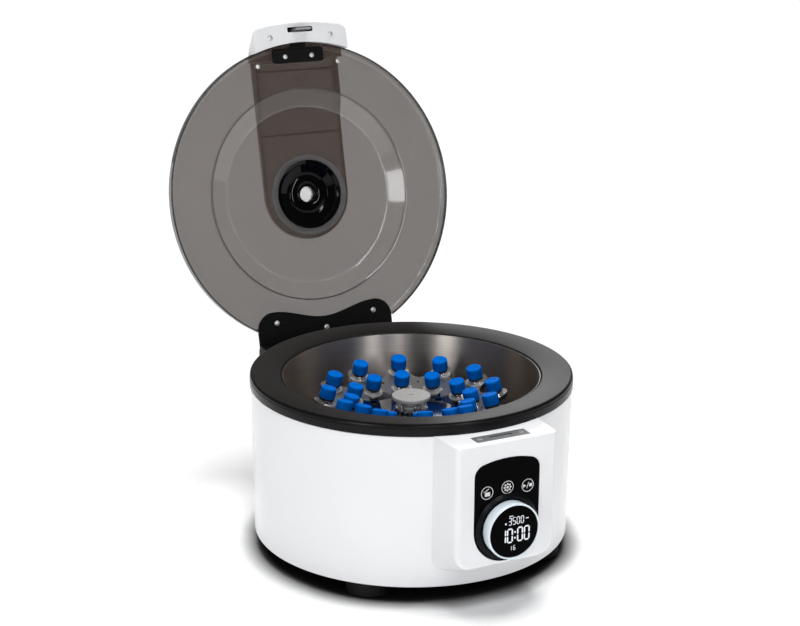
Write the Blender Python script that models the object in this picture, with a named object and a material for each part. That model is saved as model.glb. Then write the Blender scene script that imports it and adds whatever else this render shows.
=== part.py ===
"""A low-speed benchtop centrifuge with its lid open and its rotor loaded with capped tubes.

Metres, +Z up. The front, with the control panel, faces -Y. The drum stands on the Z axis
while it is modelled. Then the whole machine is moved along Y, so that the origin lies under
the middle of its outline on the floor. The lid's pieces are modelled closed, round the hinge
pin, and the pin's empty turns them open.
"""

import math

import bmesh
import bpy
from mathutils import Matrix, Vector

# Clearances
TOUCH = 0.0003
RUNNING = 0.0003
OVERRUN = 0.004

# Feet and base plate
FOOT_RADIUS = 0.0215
FOOT_HEIGHT = 0.0165
FOOT_CHAMFER = 0.0015
FOOT_INSET = 0.0255
BASE_THICKNESS = 0.003
STANDOFF_RADIUS = 0.004
STANDOFF_HEIGHT = 0.006

# Housing drum
DRUM_TOP_RADIUS = 0.164
DRUM_TAPER = 0.0015
DRUM_WALL = 0.003
DECK_THICKNESS = 0.003

# Pod at the front of the housing
POD_WIDTH = 0.108
POD_REACH = 0.0315
POD_ROOT = 0.016
POD_RISE = 0.0009
POD_WALL = 0.004
POD_ROOF = 0.0042
POD_FACE_LIFT = 0.0305
POD_CHIN_DROP = 0.018
POD_FLARE = 0.003
POD_EDGE_RADIUS = 0.005
POD_TOP_EDGE_RADIUS = 0.0015
POD_CORNER_RADIUS = 0.018

# Power board
POWER_BOARD_X = 0.045
POWER_BOARD_MOTOR_GAP = 0.011
POWER_BOARD_DRUM_GAP = 0.0265
POWER_BOARD_MARGIN = 0.007

# Collar, bowl and seal
COLLAR_OVERHANG = 0.001
COLLAR_DRAW_IN = 0.0023
COLLAR_HEIGHT = 0.0125
COLLAR_BOWL_STEP = 0.002
COLLAR_DISH = 0.0035
COLLAR_LIP = 0.0015
COLLAR_SHOULDER_SHARE = 0.4
BOWL_INSET = 0.033
BOWL_WALL = 0.0012
BOWL_MOTOR_GAP = 0.0058
BOWL_CORNER_RADIUS = 0.012
BOWL_FLANGE_WIDTH = 0.013
BOWL_HOLE_RADIUS = 0.020
BOWL_DECK_GAP = 0.0015
SEAL_HEIGHT = 0.0035
SEAL_PROUD = 0.0004

# Motor, shaft and boot
MOTOR_RADIUS = 0.048
MOTOR_HEIGHT = 0.035
MOTOR_FLANGE_WIDTH = 0.007
MOTOR_FLANGE_THICKNESS = 0.004
MOTOR_EDGE = 0.004
DAMPER_RADIUS = 0.046
DAMPER_HOLE_RADIUS = 0.030
DAMPER_HEIGHT = 0.006
BEARING_RADIUS = 0.013
BEARING_HEIGHT = 0.008
SHAFT_RADIUS = 0.005
SHAFT_START = 0.004
BOOT_FLANGE_RADIUS = 0.026
BOOT_FLANGE_THICKNESS = 0.0025
BOOT_NECK_RADIUS = 0.012
BOOT_HEIGHT = 0.014
BOOT_WALL = 0.002
BOOT_SHAFT_GAP = 0.0008

# Rotor, tubes and nut
SPOKES = 12
FIRST_SPOKE_ANGLE = math.radians(11.5)
TUBE_TILT = math.radians(15)
CAP_BOWL_GAP = 0.0454
CAP_ROW_SPACING = 0.0234
CAP_ROW_STEP = 0.010
CAP_BELOW_RIM = 0.0219
CAP_RADIUS = 0.00815
CAP_HEIGHT = 0.011
CAP_EDGE = 0.0012
TUBE_RADIUS = 0.0065
TUBE_LENGTH = 0.075
TUBE_TIP_HEIGHT = 0.004
TUBE_FLOOR_GAP = 0.0271
SLEEVE_WALL = 0.0016
SLEEVE_CLEARANCE = 0.0004
SLEEVE_DROP = 0.0095
SLEEVE_BASE = 0.002
PLATE_DROP = 0.012
PLATE_THICKNESS = 0.004
PLATE_OVERHANG = 0.012
DISH_INSET = 0.0142
DISH_DROP = 0.0161
HUB_RADIUS = 0.0175
HUB_RISE = 0.0065
HUB_LENGTH = 0.045
NUT_RADIUS = 0.020
NUT_DISC_HEIGHT = 0.004
NUT_HEIGHT = 0.0127
NUT_NECK_RADIUS = 0.0075
NUT_ROOF = 0.0015

# Control panel, knob and keys
PANEL_MARGIN = 0.0015
PANEL_FOOT_MARGIN = 0.0045
PANEL_THICKNESS = 0.0028
PANEL_PROUD = 0.0008
PANEL_LEDGE = 0.0035
PANEL_CORNER_RADIUS = 0.012
PANEL_ARCH_RISE = 0.003
PANEL_HEAD = 0.0283
KNOB_RADIUS = 0.0269
KNOB_REACH = 0.0151
KNOB_TRAVEL = 0.0015
KNOB_RIM = 0.0025
KNOB_EDGE = 0.0007
KNOB_WEB = 0.004
KNOB_STEM_RADIUS = 0.0125
BEZEL_GAP = 0.0013
BEZEL_WIDTH = 0.0053
BEZEL_HEIGHT = 0.002
DISPLAY_THICKNESS = 0.005
DISPLAY_INSET = 0.0004
KEY_RADIUS = 0.0067
KEY_STEM_RADIUS = 0.002
KEY_SPACING = 0.022
KEY_ABOVE_KNOB = 0.0377
KEY_MIDDLE_RISE = 0.0019
KEY_TRAVEL = 0.0005
KEY_THICKNESS = 0.0024
BOARD_THICKNESS = 0.0016
BOARD_GAP = 0.0078
BOARD_MARGIN = 0.005
BOARD_HEAD_MARGIN = 0.0045
BOARD_BELOW_KNOB = 0.0245
POST_RADIUS = 0.0025

# Latch in the pod's top
STRIKE_WIDTH = 0.057
STRIKE_DEPTH = 0.014
STRIKE_THICKNESS = 0.0015
STRIKE_PROUD = 0.0003
HOOK_SETBACK = 0.014
STRIKE_SLOT_WIDTH = 0.024
STRIKE_SLOT_DEPTH = 0.0050
BOLT_WIDTH = 0.0072
BOLT_THICKNESS = 0.0024
BOLT_LENGTH = 0.026
BOLT_SETBACK = 0.0035
LATCH_BOSS_WIDTH = 0.016
LATCH_BOSS_DEPTH = 0.020
LATCH_BOSS_HEIGHT = 0.008

# Rear boss, mains inlet and power switch
REAR_BOSS_WIDTH = 0.084
REAR_BOSS_HEIGHT = 0.044
REAR_BOSS_LIFT = 0.0095
REAR_BOSS_PROUD = 0.0015
REAR_BOSS_DEPTH = 0.010
INLET_X = -0.018
INLET_FLANGE_SIDE = 0.00175
INLET_FLANGE_END = 0.002
INLET_FLANGE_THICKNESS = 0.002
INLET_WIDTH = 0.0275
INLET_HEIGHT = 0.020
INLET_DEPTH = 0.022
INLET_WALL = 0.0016
INLET_BACK = 0.003
INLET_PIN_WIDTH = 0.004
INLET_PIN_THICKNESS = 0.002
INLET_PIN_LENGTH = 0.011
INLET_PIN_SPACING = 0.007
INLET_PIN_DROP = 0.002
SWITCH_X = 0.022
SWITCH_WIDTH = 0.013
SWITCH_HEIGHT = 0.019
SWITCH_DEPTH = 0.007
SWITCH_RIDGE = 0.0012
SWITCH_GAP = 0.0008
SWITCH_TILT = math.radians(7)

# Lid
LID_OVERHANG = 0.0024
LID_LIP = 0.0018
LID_LIP_DROP = 0.007
LID_GAP = 0.0041
LID_THICKNESS = 0.004
LID_EDGE = 0.002
LID_STEP_INSET = 0.0494
LID_STEP_WIDTH = 0.020
LID_STEP_RISE = 0.008
LID_OPEN_ANGLE = math.radians(103.3)
PIVOT_BELOW = 0.0155
SPINE_MARGIN = 0.0095
SPINE_HEIGHT = 0.017
SPINE_WALL = 0.0025
SPINE_EDGE = 0.003
PORT_FLANGE_WIDTH = 0.0045
PORT_FLANGE_THICKNESS = 0.002
PORT_BODY_RADIUS = 0.0405
PORT_WALL = 0.0025
PORT_SLOPE_WIDTH = 0.013
PORT_FLOOR_DEPTH = 0.007
SIGHT_RADIUS = 0.0085
SIGHT_WINDOW = 0.0015

# Lid handle, hook and hinge
HANDLE_SIDE = 0.006
HANDLE_SETBACK = 0.006
HANDLE_OVERLAP = 0.0174
HANDLE_POD_GAP = 0.0018
HANDLE_FRONT_BOW = 0.0058
HANDLE_FRONT_LIP = 0.003
HANDLE_CORNER_RADIUS = 0.008
HANDLE_EDGE_RADIUS = 0.014
HANDLE_CURVE = 1.5
HANDLE_MIDDLE_SHARES = (-0.5, 0, 0.5)
HANDLE_SLOT_WIDTH = 0.030
HANDLE_SLOT_DEPTH = 0.0055
HOOK_PLATE_WIDTH = 0.061
HOOK_PLATE_INSET = 0.0209
HOOK_RIM_GAP = 0.0008
HOOK_THICKNESS = 0.0027
HOOK_TONGUE_WIDTH = 0.022
HOOK_TAB_WIDTH = 0.018
HOOK_TAB_THICKNESS = 0.0022
HOOK_TAB_FOOT = 0.0024
HOOK_WINDOW_CLEARANCE = 0.0004
HOOK_INSET_SHARE = 0.1
SADDLE_WIDTH = 0.164
SADDLE_THICKNESS = 0.0027
SADDLE_LOBE_RADIUS = 0.020
SADDLE_REACH = 0.0465
SADDLE_DIP = 0.0115
SADDLE_WEB_THICKNESS = 0.0105
SADDLE_WEB_INSET = 0.0005
BARREL_RADIUS = 0.007
PIN_RADIUS = 0.003
HINGE_CHEEK = 0.007
HINGE_DEPTH = 0.018
HINGE_RISE = 0.0115
HINGE_HEIGHT = 0.050
HINGE_FLOOR_DROP = 0.0125
HINGE_CHAMFER = 0.008

# Facets of the round pieces
FINE = 48
MEDIUM = 24
SMALL = 12
TUBE_FACETS = 8
ARC_STEPS = 6
HANDLE_STATIONS = 8
BOWL_ARC_STEPS = 3
SPINE_END_STEPS = 13
BEVEL_STEPS = 2
ROUND_BEVEL_SHARE = 0.5

# Heights, from the bench up
DRUM_Z = FOOT_HEIGHT
BASE_Z = DRUM_Z + TOUCH
BASE_TOP = BASE_Z + BASE_THICKNESS
MOTOR_Z = BASE_TOP + DAMPER_HEIGHT + 2 * TOUCH
MOTOR_TOP = MOTOR_Z + MOTOR_HEIGHT
BOWL_FLOOR = MOTOR_TOP + BOWL_MOTOR_GAP
TUBE_REACH = TUBE_LENGTH - CAP_HEIGHT / 2 + CAP_EDGE
OUTER_CAP_HEIGHT = BOWL_FLOOR + TUBE_FLOOR_GAP + TUBE_REACH * math.cos(TUBE_TILT)
INNER_CAP_HEIGHT = OUTER_CAP_HEIGHT - CAP_ROW_STEP
DISH_HEIGHT = INNER_CAP_HEIGHT - DISH_DROP
HUB_TOP = DISH_HEIGHT + HUB_RISE
COLLAR_TOP = OUTER_CAP_HEIGHT + CAP_BELOW_RIM
COLLAR_Z = COLLAR_TOP - COLLAR_HEIGHT
FLANGE_TOP = COLLAR_Z + BOWL_WALL
DECK_Z = COLLAR_Z - TOUCH
POD_TOP = DECK_Z + POD_RISE
POD_CEILING = POD_TOP - POD_ROOF
LID_Z = COLLAR_TOP + LID_GAP
LID_TOP = LID_Z + LID_THICKNESS
SPINE_TOP = LID_TOP + SPINE_HEIGHT
HANDLE_Z = POD_TOP + HANDLE_POD_GAP
PIVOT_Z = COLLAR_Z - PIVOT_BELOW
REAR_BOSS_LOW = DRUM_Z + REAR_BOSS_LIFT
REAR_BOSS_HIGH = REAR_BOSS_LOW + REAR_BOSS_HEIGHT
REAR_BOSS_MIDDLE = (REAR_BOSS_LOW + REAR_BOSS_HIGH) / 2

# Radii and distances from the drum's axis
DRUM_BOTTOM_RADIUS = DRUM_TOP_RADIUS - DRUM_TAPER
FOOT_CIRCLE_RADIUS = DRUM_BOTTOM_RADIUS - FOOT_INSET
POD_FRONT = DRUM_TOP_RADIUS + POD_REACH
POD_BACK = DRUM_TOP_RADIUS - POD_ROOT
COLLAR_RADIUS = DRUM_TOP_RADIUS + COLLAR_OVERHANG
COLLAR_TOP_RADIUS = COLLAR_RADIUS - COLLAR_DRAW_IN
BOWL_RADIUS = DRUM_TOP_RADIUS - BOWL_INSET
COLLAR_INNER_RADIUS = BOWL_RADIUS + COLLAR_BOWL_STEP
FLANGE_RADIUS = BOWL_RADIUS + BOWL_WALL + BOWL_FLANGE_WIDTH
MOTOR_FLANGE_RADIUS = MOTOR_RADIUS + MOTOR_FLANGE_WIDTH
POWER_BOARD_NEAR = MOTOR_FLANGE_RADIUS + POWER_BOARD_MOTOR_GAP
POWER_BOARD_FAR = DRUM_BOTTOM_RADIUS - POWER_BOARD_DRUM_GAP
OUTER_CAP_RADIUS = BOWL_RADIUS - CAP_BOWL_GAP
INNER_CAP_RADIUS = OUTER_CAP_RADIUS - CAP_ROW_SPACING
DISH_RADIUS = INNER_CAP_RADIUS - DISH_INSET
LID_RADIUS = COLLAR_RADIUS + LID_OVERHANG
LID_STEP_OUTER_RADIUS = LID_RADIUS - LID_STEP_INSET
LID_STEP_INNER_RADIUS = LID_STEP_OUTER_RADIUS - LID_STEP_WIDTH
PORT_FLANGE_RADIUS = PORT_BODY_RADIUS + PORT_FLANGE_WIDTH
PORT_MOUTH_RADIUS = PORT_BODY_RADIUS - PORT_WALL
PORT_FLOOR_RADIUS = PORT_MOUTH_RADIUS - PORT_SLOPE_WIDTH
SPINE_WIDTH = 2 * (PORT_BODY_RADIUS + SPINE_MARGIN)
SPINE_END = LID_RADIUS - HANDLE_OVERLAP
HANDLE_WIDTH = SPINE_WIDTH + 2 * HANDLE_SIDE
HOOK_LINE = POD_FRONT - HOOK_SETBACK
HOOK_PLATE_START = LID_RADIUS - HOOK_PLATE_INSET
HOOK_PLATE_CORNER = LID_RADIUS - LID_LIP - HOOK_RIM_GAP
HOOK_PLATE_END = (HOOK_PLATE_CORNER**2 - (HOOK_PLATE_WIDTH / 2) ** 2) ** 0.5
PIVOT_Y = COLLAR_RADIUS + BARREL_RADIUS
SADDLE_LOBE_Y = PIVOT_Y - SADDLE_REACH
REAR_BOSS_FACE = DRUM_TOP_RADIUS + REAR_BOSS_PROUD

# Places in the control panel
PANEL_FACE = POD_FRONT + PANEL_PROUD
PANEL_BACK = PANEL_FACE - PANEL_THICKNESS
BOARD_FACE = PANEL_BACK - BOARD_GAP
KNOB_FACE = POD_FRONT + KNOB_REACH
BEZEL_INNER_RADIUS = KNOB_RADIUS + BEZEL_GAP
BEZEL_OUTER_RADIUS = BEZEL_INNER_RADIUS + BEZEL_WIDTH
PANEL_WIDTH = 2 * (BEZEL_OUTER_RADIUS + PANEL_MARGIN)
KNOB_HEIGHT = DRUM_Z + POD_FACE_LIFT + PANEL_FOOT_MARGIN + PANEL_WIDTH / 2
KEY_HEIGHT = KNOB_HEIGHT + KEY_ABOVE_KNOB
PANEL_CORNER_TOP = KEY_HEIGHT + PANEL_HEAD
BOARD_WIDTH = PANEL_WIDTH - 2 * BOARD_MARGIN
BOARD_LOW = KNOB_HEIGHT - BOARD_BELOW_KNOB
BOARD_HIGH = PANEL_CORNER_TOP - BOARD_HEAD_MARGIN
INLET_FLANGE_WIDTH = INLET_WIDTH + 2 * INLET_FLANGE_SIDE
INLET_FLANGE_HEIGHT = INLET_HEIGHT + 2 * INLET_FLANGE_END

# Turns that lay an outline drawn in X and Y into another plane
FACING_FRONT = Matrix.Rotation(math.pi / 2, 4, "X")
FACING_RIGHT = Matrix(((0, 0, 1, 0), (1, 0, 0, 0), (0, 1, 0, 0), (0, 0, 0, 1)))


def clear_scene():
    for thing in list(bpy.data.objects):
        bpy.data.objects.remove(thing, do_unlink=True)


def make_material(name, colour, roughness, metallic=0.0, alpha=1.0):
    material = bpy.data.materials.new(name)
    material.use_nodes = True
    shader = material.node_tree.nodes["Principled BSDF"]
    shader.inputs["Base Color"].default_value = (*colour, 1.0)
    shader.inputs["Roughness"].default_value = roughness
    shader.inputs["Metallic"].default_value = metallic
    shader.inputs["Alpha"].default_value = alpha
    return material


def add_empty(name, location=(0, 0, 0), parent=None):
    empty = bpy.data.objects.new(name, None)
    empty.location = location
    empty.parent = parent
    bpy.context.scene.collection.objects.link(empty)
    return empty


def add_object(name, mesh_data, material, parent, origin=(0, 0, 0)):
    """Make an object of a bmesh drawn in its parent's space, with the object's origin at origin."""
    bmesh.ops.recalc_face_normals(mesh_data, faces=mesh_data.faces)
    bmesh.ops.translate(mesh_data, verts=mesh_data.verts, vec=-Vector(origin))
    mesh = bpy.data.meshes.new(name)
    mesh_data.to_mesh(mesh)
    mesh_data.free()
    mesh.shade_smooth()
    mesh.set_sharp_from_angle(angle=math.radians(30))
    if material:
        mesh.materials.append(material)
    thing = bpy.data.objects.new(name, mesh)
    thing.location = origin
    thing.parent = parent
    bpy.context.scene.collection.objects.link(thing)
    return thing


def combine(target, name, mesh_data, operation, origin=(0, 0, 0)):
    """Join or cut target with a helper solid that isn't part of the machine itself."""
    helper = add_object(name, mesh_data, None, target.parent, origin)
    helper.hide_render = True
    helper.display_type = "WIRE"
    modifier = target.modifiers.new(name, "BOOLEAN")
    modifier.operation = operation
    modifier.object = helper


def cut(target, name, mesh_data):
    combine(target, name, mesh_data, "DIFFERENCE")


def join(target, name, mesh_data):
    combine(target, name, mesh_data, "UNION")


def placed(mesh_data, matrix):
    bmesh.ops.transform(mesh_data, matrix=matrix, verts=mesh_data.verts)
    return mesh_data


def loft(rings):
    """A closed solid through rings of equally many points, with flat ends."""
    mesh_data = bmesh.new()
    loops = [[mesh_data.verts.new(point) for point in ring] for ring in rings]
    for first, second in zip(loops, loops[1:]):
        for here in range(len(first)):
            there = (here + 1) % len(first)
            mesh_data.faces.new((first[here], first[there], second[there], second[here]))
    mesh_data.faces.new(loops[0])
    mesh_data.faces.new(loops[-1])
    return mesh_data


def prism(outline, low, high):
    """The outline, drawn in X and Y, raised from low to high."""
    return loft([[(x, y, height) for x, y in outline] for height in (low, high)])


def box(x, y, z):
    """A block between the two values given for each axis."""
    outline = [(x[0], y[0]), (x[1], y[0]), (x[1], y[1]), (x[0], y[1])]
    return prism(outline, z[0], z[1])


def lathe(profile, facets):
    """Turn a closed (radius, height) profile round Z. A point of radius 0 becomes one vertex."""
    mesh_data = bmesh.new()
    rings = []
    for radius, height in profile:
        count = facets if radius > 0 else 1
        turns = [2 * math.pi * step / facets for step in range(count)]
        ring = [(radius * math.cos(turn), radius * math.sin(turn), height) for turn in turns]
        rings.append([mesh_data.verts.new(point) for point in ring])
    for first, second in zip(rings, rings[1:] + rings[:1]):
        if len(first) == len(second) == 1:
            continue
        for here in range(facets):
            there = (here + 1) % facets
            corners = [first[here % len(first)], first[there % len(first)]]
            corners += [second[there % len(second)], second[here % len(second)]]
            mesh_data.faces.new(list(dict.fromkeys(corners)))
    return mesh_data


def cylinder(radius, low, high, facets):
    return lathe([(0, low), (radius, low), (radius, high), (0, high)], facets)


def along_y(mesh_data, x, z):
    """Lay a solid turned round Z along -Y, on the line through x and z."""
    return placed(mesh_data, Matrix.Translation((x, 0, z)) @ FACING_FRONT)


def along_x(mesh_data, y, z):
    """Lay a solid turned round Z along X, on the line through y and z."""
    return placed(mesh_data, Matrix.Translation((0, y, z)) @ FACING_RIGHT)


def arc(centre, radius, start, end, steps=ARC_STEPS):
    turns = [math.radians(start + (end - start) * step / steps) for step in range(steps + 1)]
    return [(centre[0] + radius * math.cos(t), centre[1] + radius * math.sin(t)) for t in turns]


def spread(value):
    """The span from -value to value."""
    return (-value, value)


def drum_radius(height):
    share = (height - DRUM_Z) / (DECK_Z - DRUM_Z)
    return DRUM_BOTTOM_RADIUS + DRUM_TAPER * share


def pod_outline(half_width, low, high, corner):
    """The pod seen from the front: square at the top, rounded at the bottom."""
    left = arc((-half_width + corner, low + corner), corner, 180, 270)
    right = arc((half_width - corner, low + corner), corner, 270, 360)
    return left + right + [(half_width, high), (-half_width, high)]


def pod_solid(inset, back, top):
    """The pod's rounded front, sides and sloping chin. inset shrinks it to its own cavity."""
    rings = []
    half_width = POD_WIDTH / 2 - inset
    low = DRUM_Z + POD_FACE_LIFT + inset
    for turn in (0, math.pi / 4, math.pi / 2):
        sideways = POD_EDGE_RADIUS * (1 - math.sin(turn))
        upward = POD_TOP_EDGE_RADIUS * (1 - math.sin(turn))
        depth = POD_FRONT - inset - POD_EDGE_RADIUS * (1 - math.cos(turn))
        outline = pod_outline(
            half_width - sideways, low + sideways, top - upward, POD_CORNER_RADIUS - sideways
        )
        rings.append([(x, -depth, z) for x, z in outline])
    outline = pod_outline(half_width + POD_FLARE, low - POD_CHIN_DROP, top, POD_CORNER_RADIUS)
    rings.append([(x, -back, z) for x, z in outline])
    return loft(rings)


def panel_outline(growth):
    """The panel seen from the front: an arched top and a round bottom about the knob."""
    half_width = PANEL_WIDTH / 2
    corner = PANEL_CORNER_RADIUS
    centre_x = half_width - corner
    centre_z = PANEL_CORNER_TOP - corner
    bottom = arc((0, KNOB_HEIGHT), half_width + growth, 180, 360, 2 * ARC_STEPS)
    right = arc((centre_x, centre_z), corner + growth, 0, 90)
    left = arc((-centre_x, centre_z), corner + growth, 90, 180)
    crown = [(0, PANEL_CORNER_TOP + PANEL_ARCH_RISE + growth)]
    return bottom + right + crown + left


def front_prism(outline, back, front):
    """An outline drawn in X and Z, raised towards the front from one distance to another."""
    return placed(prism(outline, back, front), FACING_FRONT)


def rear_box(x, height, width, tall, inner, outer):
    """A block on the rear boss, centred at x and height, between two distances from the axis."""
    return box(
        (x - width / 2, x + width / 2), (inner, outer), (height - tall / 2, height + tall / 2)
    )


def make_housing(material, root):
    inner = DRUM_WALL
    hole = BOWL_RADIUS + BOWL_WALL + BOWL_DECK_GAP
    ring = [
        (DRUM_BOTTOM_RADIUS, DRUM_Z),
        (DRUM_TOP_RADIUS, DECK_Z),
        (hole, DECK_Z),
        (hole, DECK_Z - DECK_THICKNESS),
        (DRUM_TOP_RADIUS - inner, DECK_Z - DECK_THICKNESS),
        (DRUM_BOTTOM_RADIUS - inner, DRUM_Z),
    ]
    housing = add_object("housing", lathe(ring, FINE), material, root)
    join(housing, "pod_outside", pod_solid(0, POD_BACK, POD_TOP))
    cavity_back = POD_BACK - OVERRUN
    cut(housing, "pod_inside", pod_solid(POD_WALL, cavity_back, POD_CEILING))
    rebate = cylinder(COLLAR_RADIUS + TOUCH, DECK_Z + TOUCH / 2, POD_TOP + OVERRUN, FINE)
    cut(housing, "collar_rebate", rebate)
    cut_panel_seat(housing)
    cut_latch_seat(housing)
    cut_rear_boss(housing)
    return housing


def cut_panel_seat(housing):
    seat = front_prism(panel_outline(TOUCH), PANEL_BACK - TOUCH, POD_FRONT + OVERRUN)
    cut(housing, "panel_seat", seat)
    window = front_prism(
        panel_outline(-PANEL_LEDGE), POD_FRONT - POD_WALL - OVERRUN, POD_FRONT + OVERRUN
    )
    cut(housing, "panel_window", window)


def bolt_levels(growth):
    """The latch bolt's bottom and top, just under the pod's top wall."""
    top = POD_CEILING - RUNNING
    return (top - BOLT_THICKNESS - growth, top + growth)


def cut_latch_seat(housing):
    back = HOOK_LINE - STRIKE_SLOT_DEPTH / 2
    boss = box(
        spread(LATCH_BOSS_WIDTH / 2),
        (-back, -back + LATCH_BOSS_DEPTH),
        (POD_CEILING - LATCH_BOSS_HEIGHT, POD_CEILING + POD_ROOF / 2),
    )
    join(housing, "latch_boss", boss)
    channel = box(
        spread(BOLT_WIDTH / 2 + RUNNING),
        (-back - OVERRUN, -back + LATCH_BOSS_DEPTH + OVERRUN),
        (bolt_levels(RUNNING)[0], POD_CEILING),
    )
    cut(housing, "bolt_channel", channel)
    seat_floor = POD_TOP + STRIKE_PROUD - STRIKE_THICKNESS - TOUCH
    seat = box(
        spread(STRIKE_WIDTH / 2 + TOUCH),
        (-HOOK_LINE - STRIKE_DEPTH / 2 - TOUCH, -HOOK_LINE + STRIKE_DEPTH / 2 + TOUCH),
        (seat_floor, POD_TOP + OVERRUN),
    )
    cut(housing, "strike_seat", seat)
    cut(housing, "hook_slot", strike_slot(POD_CEILING - OVERRUN))


def strike_slot(bottom):
    return box(
        spread(STRIKE_SLOT_WIDTH / 2),
        (-HOOK_LINE - STRIKE_SLOT_DEPTH / 2, -HOOK_LINE + STRIKE_SLOT_DEPTH / 2),
        (bottom, POD_TOP + OVERRUN),
    )


def cut_rear_boss(housing):
    boss = box(
        spread(REAR_BOSS_WIDTH / 2),
        (REAR_BOSS_FACE - REAR_BOSS_DEPTH, REAR_BOSS_FACE),
        (REAR_BOSS_LOW, REAR_BOSS_HIGH),
    )
    join(housing, "rear_boss", boss)
    inner = REAR_BOSS_FACE - REAR_BOSS_DEPTH - OVERRUN
    outer = REAR_BOSS_FACE + OVERRUN
    inlet_hole = rear_box(
        INLET_X,
        REAR_BOSS_MIDDLE,
        INLET_WIDTH + 2 * TOUCH,
        INLET_HEIGHT + 2 * TOUCH,
        inner,
        outer,
    )
    cut(housing, "inlet_hole", inlet_hole)
    switch_hole = rear_box(
        SWITCH_X,
        REAR_BOSS_MIDDLE,
        SWITCH_WIDTH + 2 * RUNNING,
        SWITCH_HEIGHT + 2 * SWITCH_GAP,
        inner,
        outer,
    )
    cut(housing, "switch_hole", switch_hole)


def make_base(material, root):
    radius = DRUM_BOTTOM_RADIUS - DRUM_WALL - TOUCH
    base = add_object("base_plate", cylinder(radius, BASE_Z, BASE_TOP, FINE), material, root)
    low = BASE_TOP - BASE_THICKNESS / 2
    for number, (x, y) in enumerate(board_corners(), start=1):
        standoff = cylinder(STANDOFF_RADIUS, low, BASE_TOP + STANDOFF_HEIGHT, SMALL)
        join(base, f"standoff_{number}", placed(standoff, Matrix.Translation((x, y, 0))))
    return base


def board_corners():
    """Where the power board's four standoffs stand, behind the motor."""
    x = POWER_BOARD_X - POWER_BOARD_MARGIN
    near = POWER_BOARD_NEAR + POWER_BOARD_MARGIN
    far = POWER_BOARD_FAR - POWER_BOARD_MARGIN
    return [(side, depth) for side in (-x, x) for depth in (near, far)]


def make_feet(material, root):
    profile = [
        (0, 0),
        (FOOT_RADIUS - FOOT_CHAMFER, 0),
        (FOOT_RADIUS, FOOT_CHAMFER),
        (FOOT_RADIUS, FOOT_HEIGHT),
        (0, FOOT_HEIGHT),
    ]
    corners = {"front_left": 225, "front_right": 315, "rear_right": 45, "rear_left": 135}
    for name, angle in corners.items():
        turn = math.radians(angle)
        x = FOOT_CIRCLE_RADIUS * math.cos(turn)
        y = FOOT_CIRCLE_RADIUS * math.sin(turn)
        foot = placed(lathe(profile, MEDIUM), Matrix.Translation((x, y, 0)))
        add_object(f"foot_{name}", foot, material, root, (x, y, 0))


def make_power_board(material, root):
    low = BASE_TOP + STANDOFF_HEIGHT + TOUCH
    board = box(
        spread(POWER_BOARD_X), (POWER_BOARD_NEAR, POWER_BOARD_FAR), (low, low + BOARD_THICKNESS)
    )
    add_object("power_board", board, material, root)


def make_collar(material, root):
    seat = FLANGE_RADIUS + TOUCH
    recess = BOWL_WALL + TOUCH
    shoulder = COLLAR_HEIGHT * COLLAR_SHOULDER_SHARE
    rounding = (COLLAR_RADIUS - COLLAR_TOP_RADIUS) / 2
    inner_top = COLLAR_HEIGHT - COLLAR_DISH
    profile = [
        (COLLAR_RADIUS, 0),
        (COLLAR_RADIUS, shoulder),
        (COLLAR_TOP_RADIUS + rounding, COLLAR_HEIGHT - rounding),
        (COLLAR_TOP_RADIUS, COLLAR_HEIGHT),
        (COLLAR_INNER_RADIUS + COLLAR_LIP, inner_top),
        (COLLAR_INNER_RADIUS, inner_top - COLLAR_LIP),
        (COLLAR_INNER_RADIUS, recess),
        (seat, recess),
        (seat, 0),
    ]
    rings = [(radius, COLLAR_Z + height) for radius, height in profile]
    add_object("collar", lathe(rings, FINE), material, root)


def make_bowl(material, root):
    outside = BOWL_RADIUS + BOWL_WALL
    inner_corner = arc(
        (BOWL_RADIUS - BOWL_CORNER_RADIUS, BOWL_FLOOR + BOWL_CORNER_RADIUS),
        BOWL_CORNER_RADIUS,
        0,
        -90,
        BOWL_ARC_STEPS,
    )
    outer_corner = arc(
        (BOWL_RADIUS - BOWL_CORNER_RADIUS, BOWL_FLOOR + BOWL_CORNER_RADIUS),
        BOWL_CORNER_RADIUS + BOWL_WALL,
        -90,
        0,
        BOWL_ARC_STEPS,
    )
    profile = [(FLANGE_RADIUS, COLLAR_Z), (FLANGE_RADIUS, FLANGE_TOP), (BOWL_RADIUS, FLANGE_TOP)]
    profile += inner_corner
    profile += [(BOWL_HOLE_RADIUS, BOWL_FLOOR), (BOWL_HOLE_RADIUS, BOWL_FLOOR - BOWL_WALL)]
    profile += outer_corner
    profile.append((outside, COLLAR_Z))
    add_object("bowl", lathe(profile, FINE), material, root)


def make_seal(material, root):
    outer = COLLAR_INNER_RADIUS - TOUCH
    inner = BOWL_RADIUS - SEAL_PROUD
    low = FLANGE_TOP + TOUCH
    profile = [(inner, low), (outer, low), (outer, low + SEAL_HEIGHT), (inner, low + SEAL_HEIGHT)]
    add_object("bowl_seal", lathe(profile, FINE), material, root)


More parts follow.
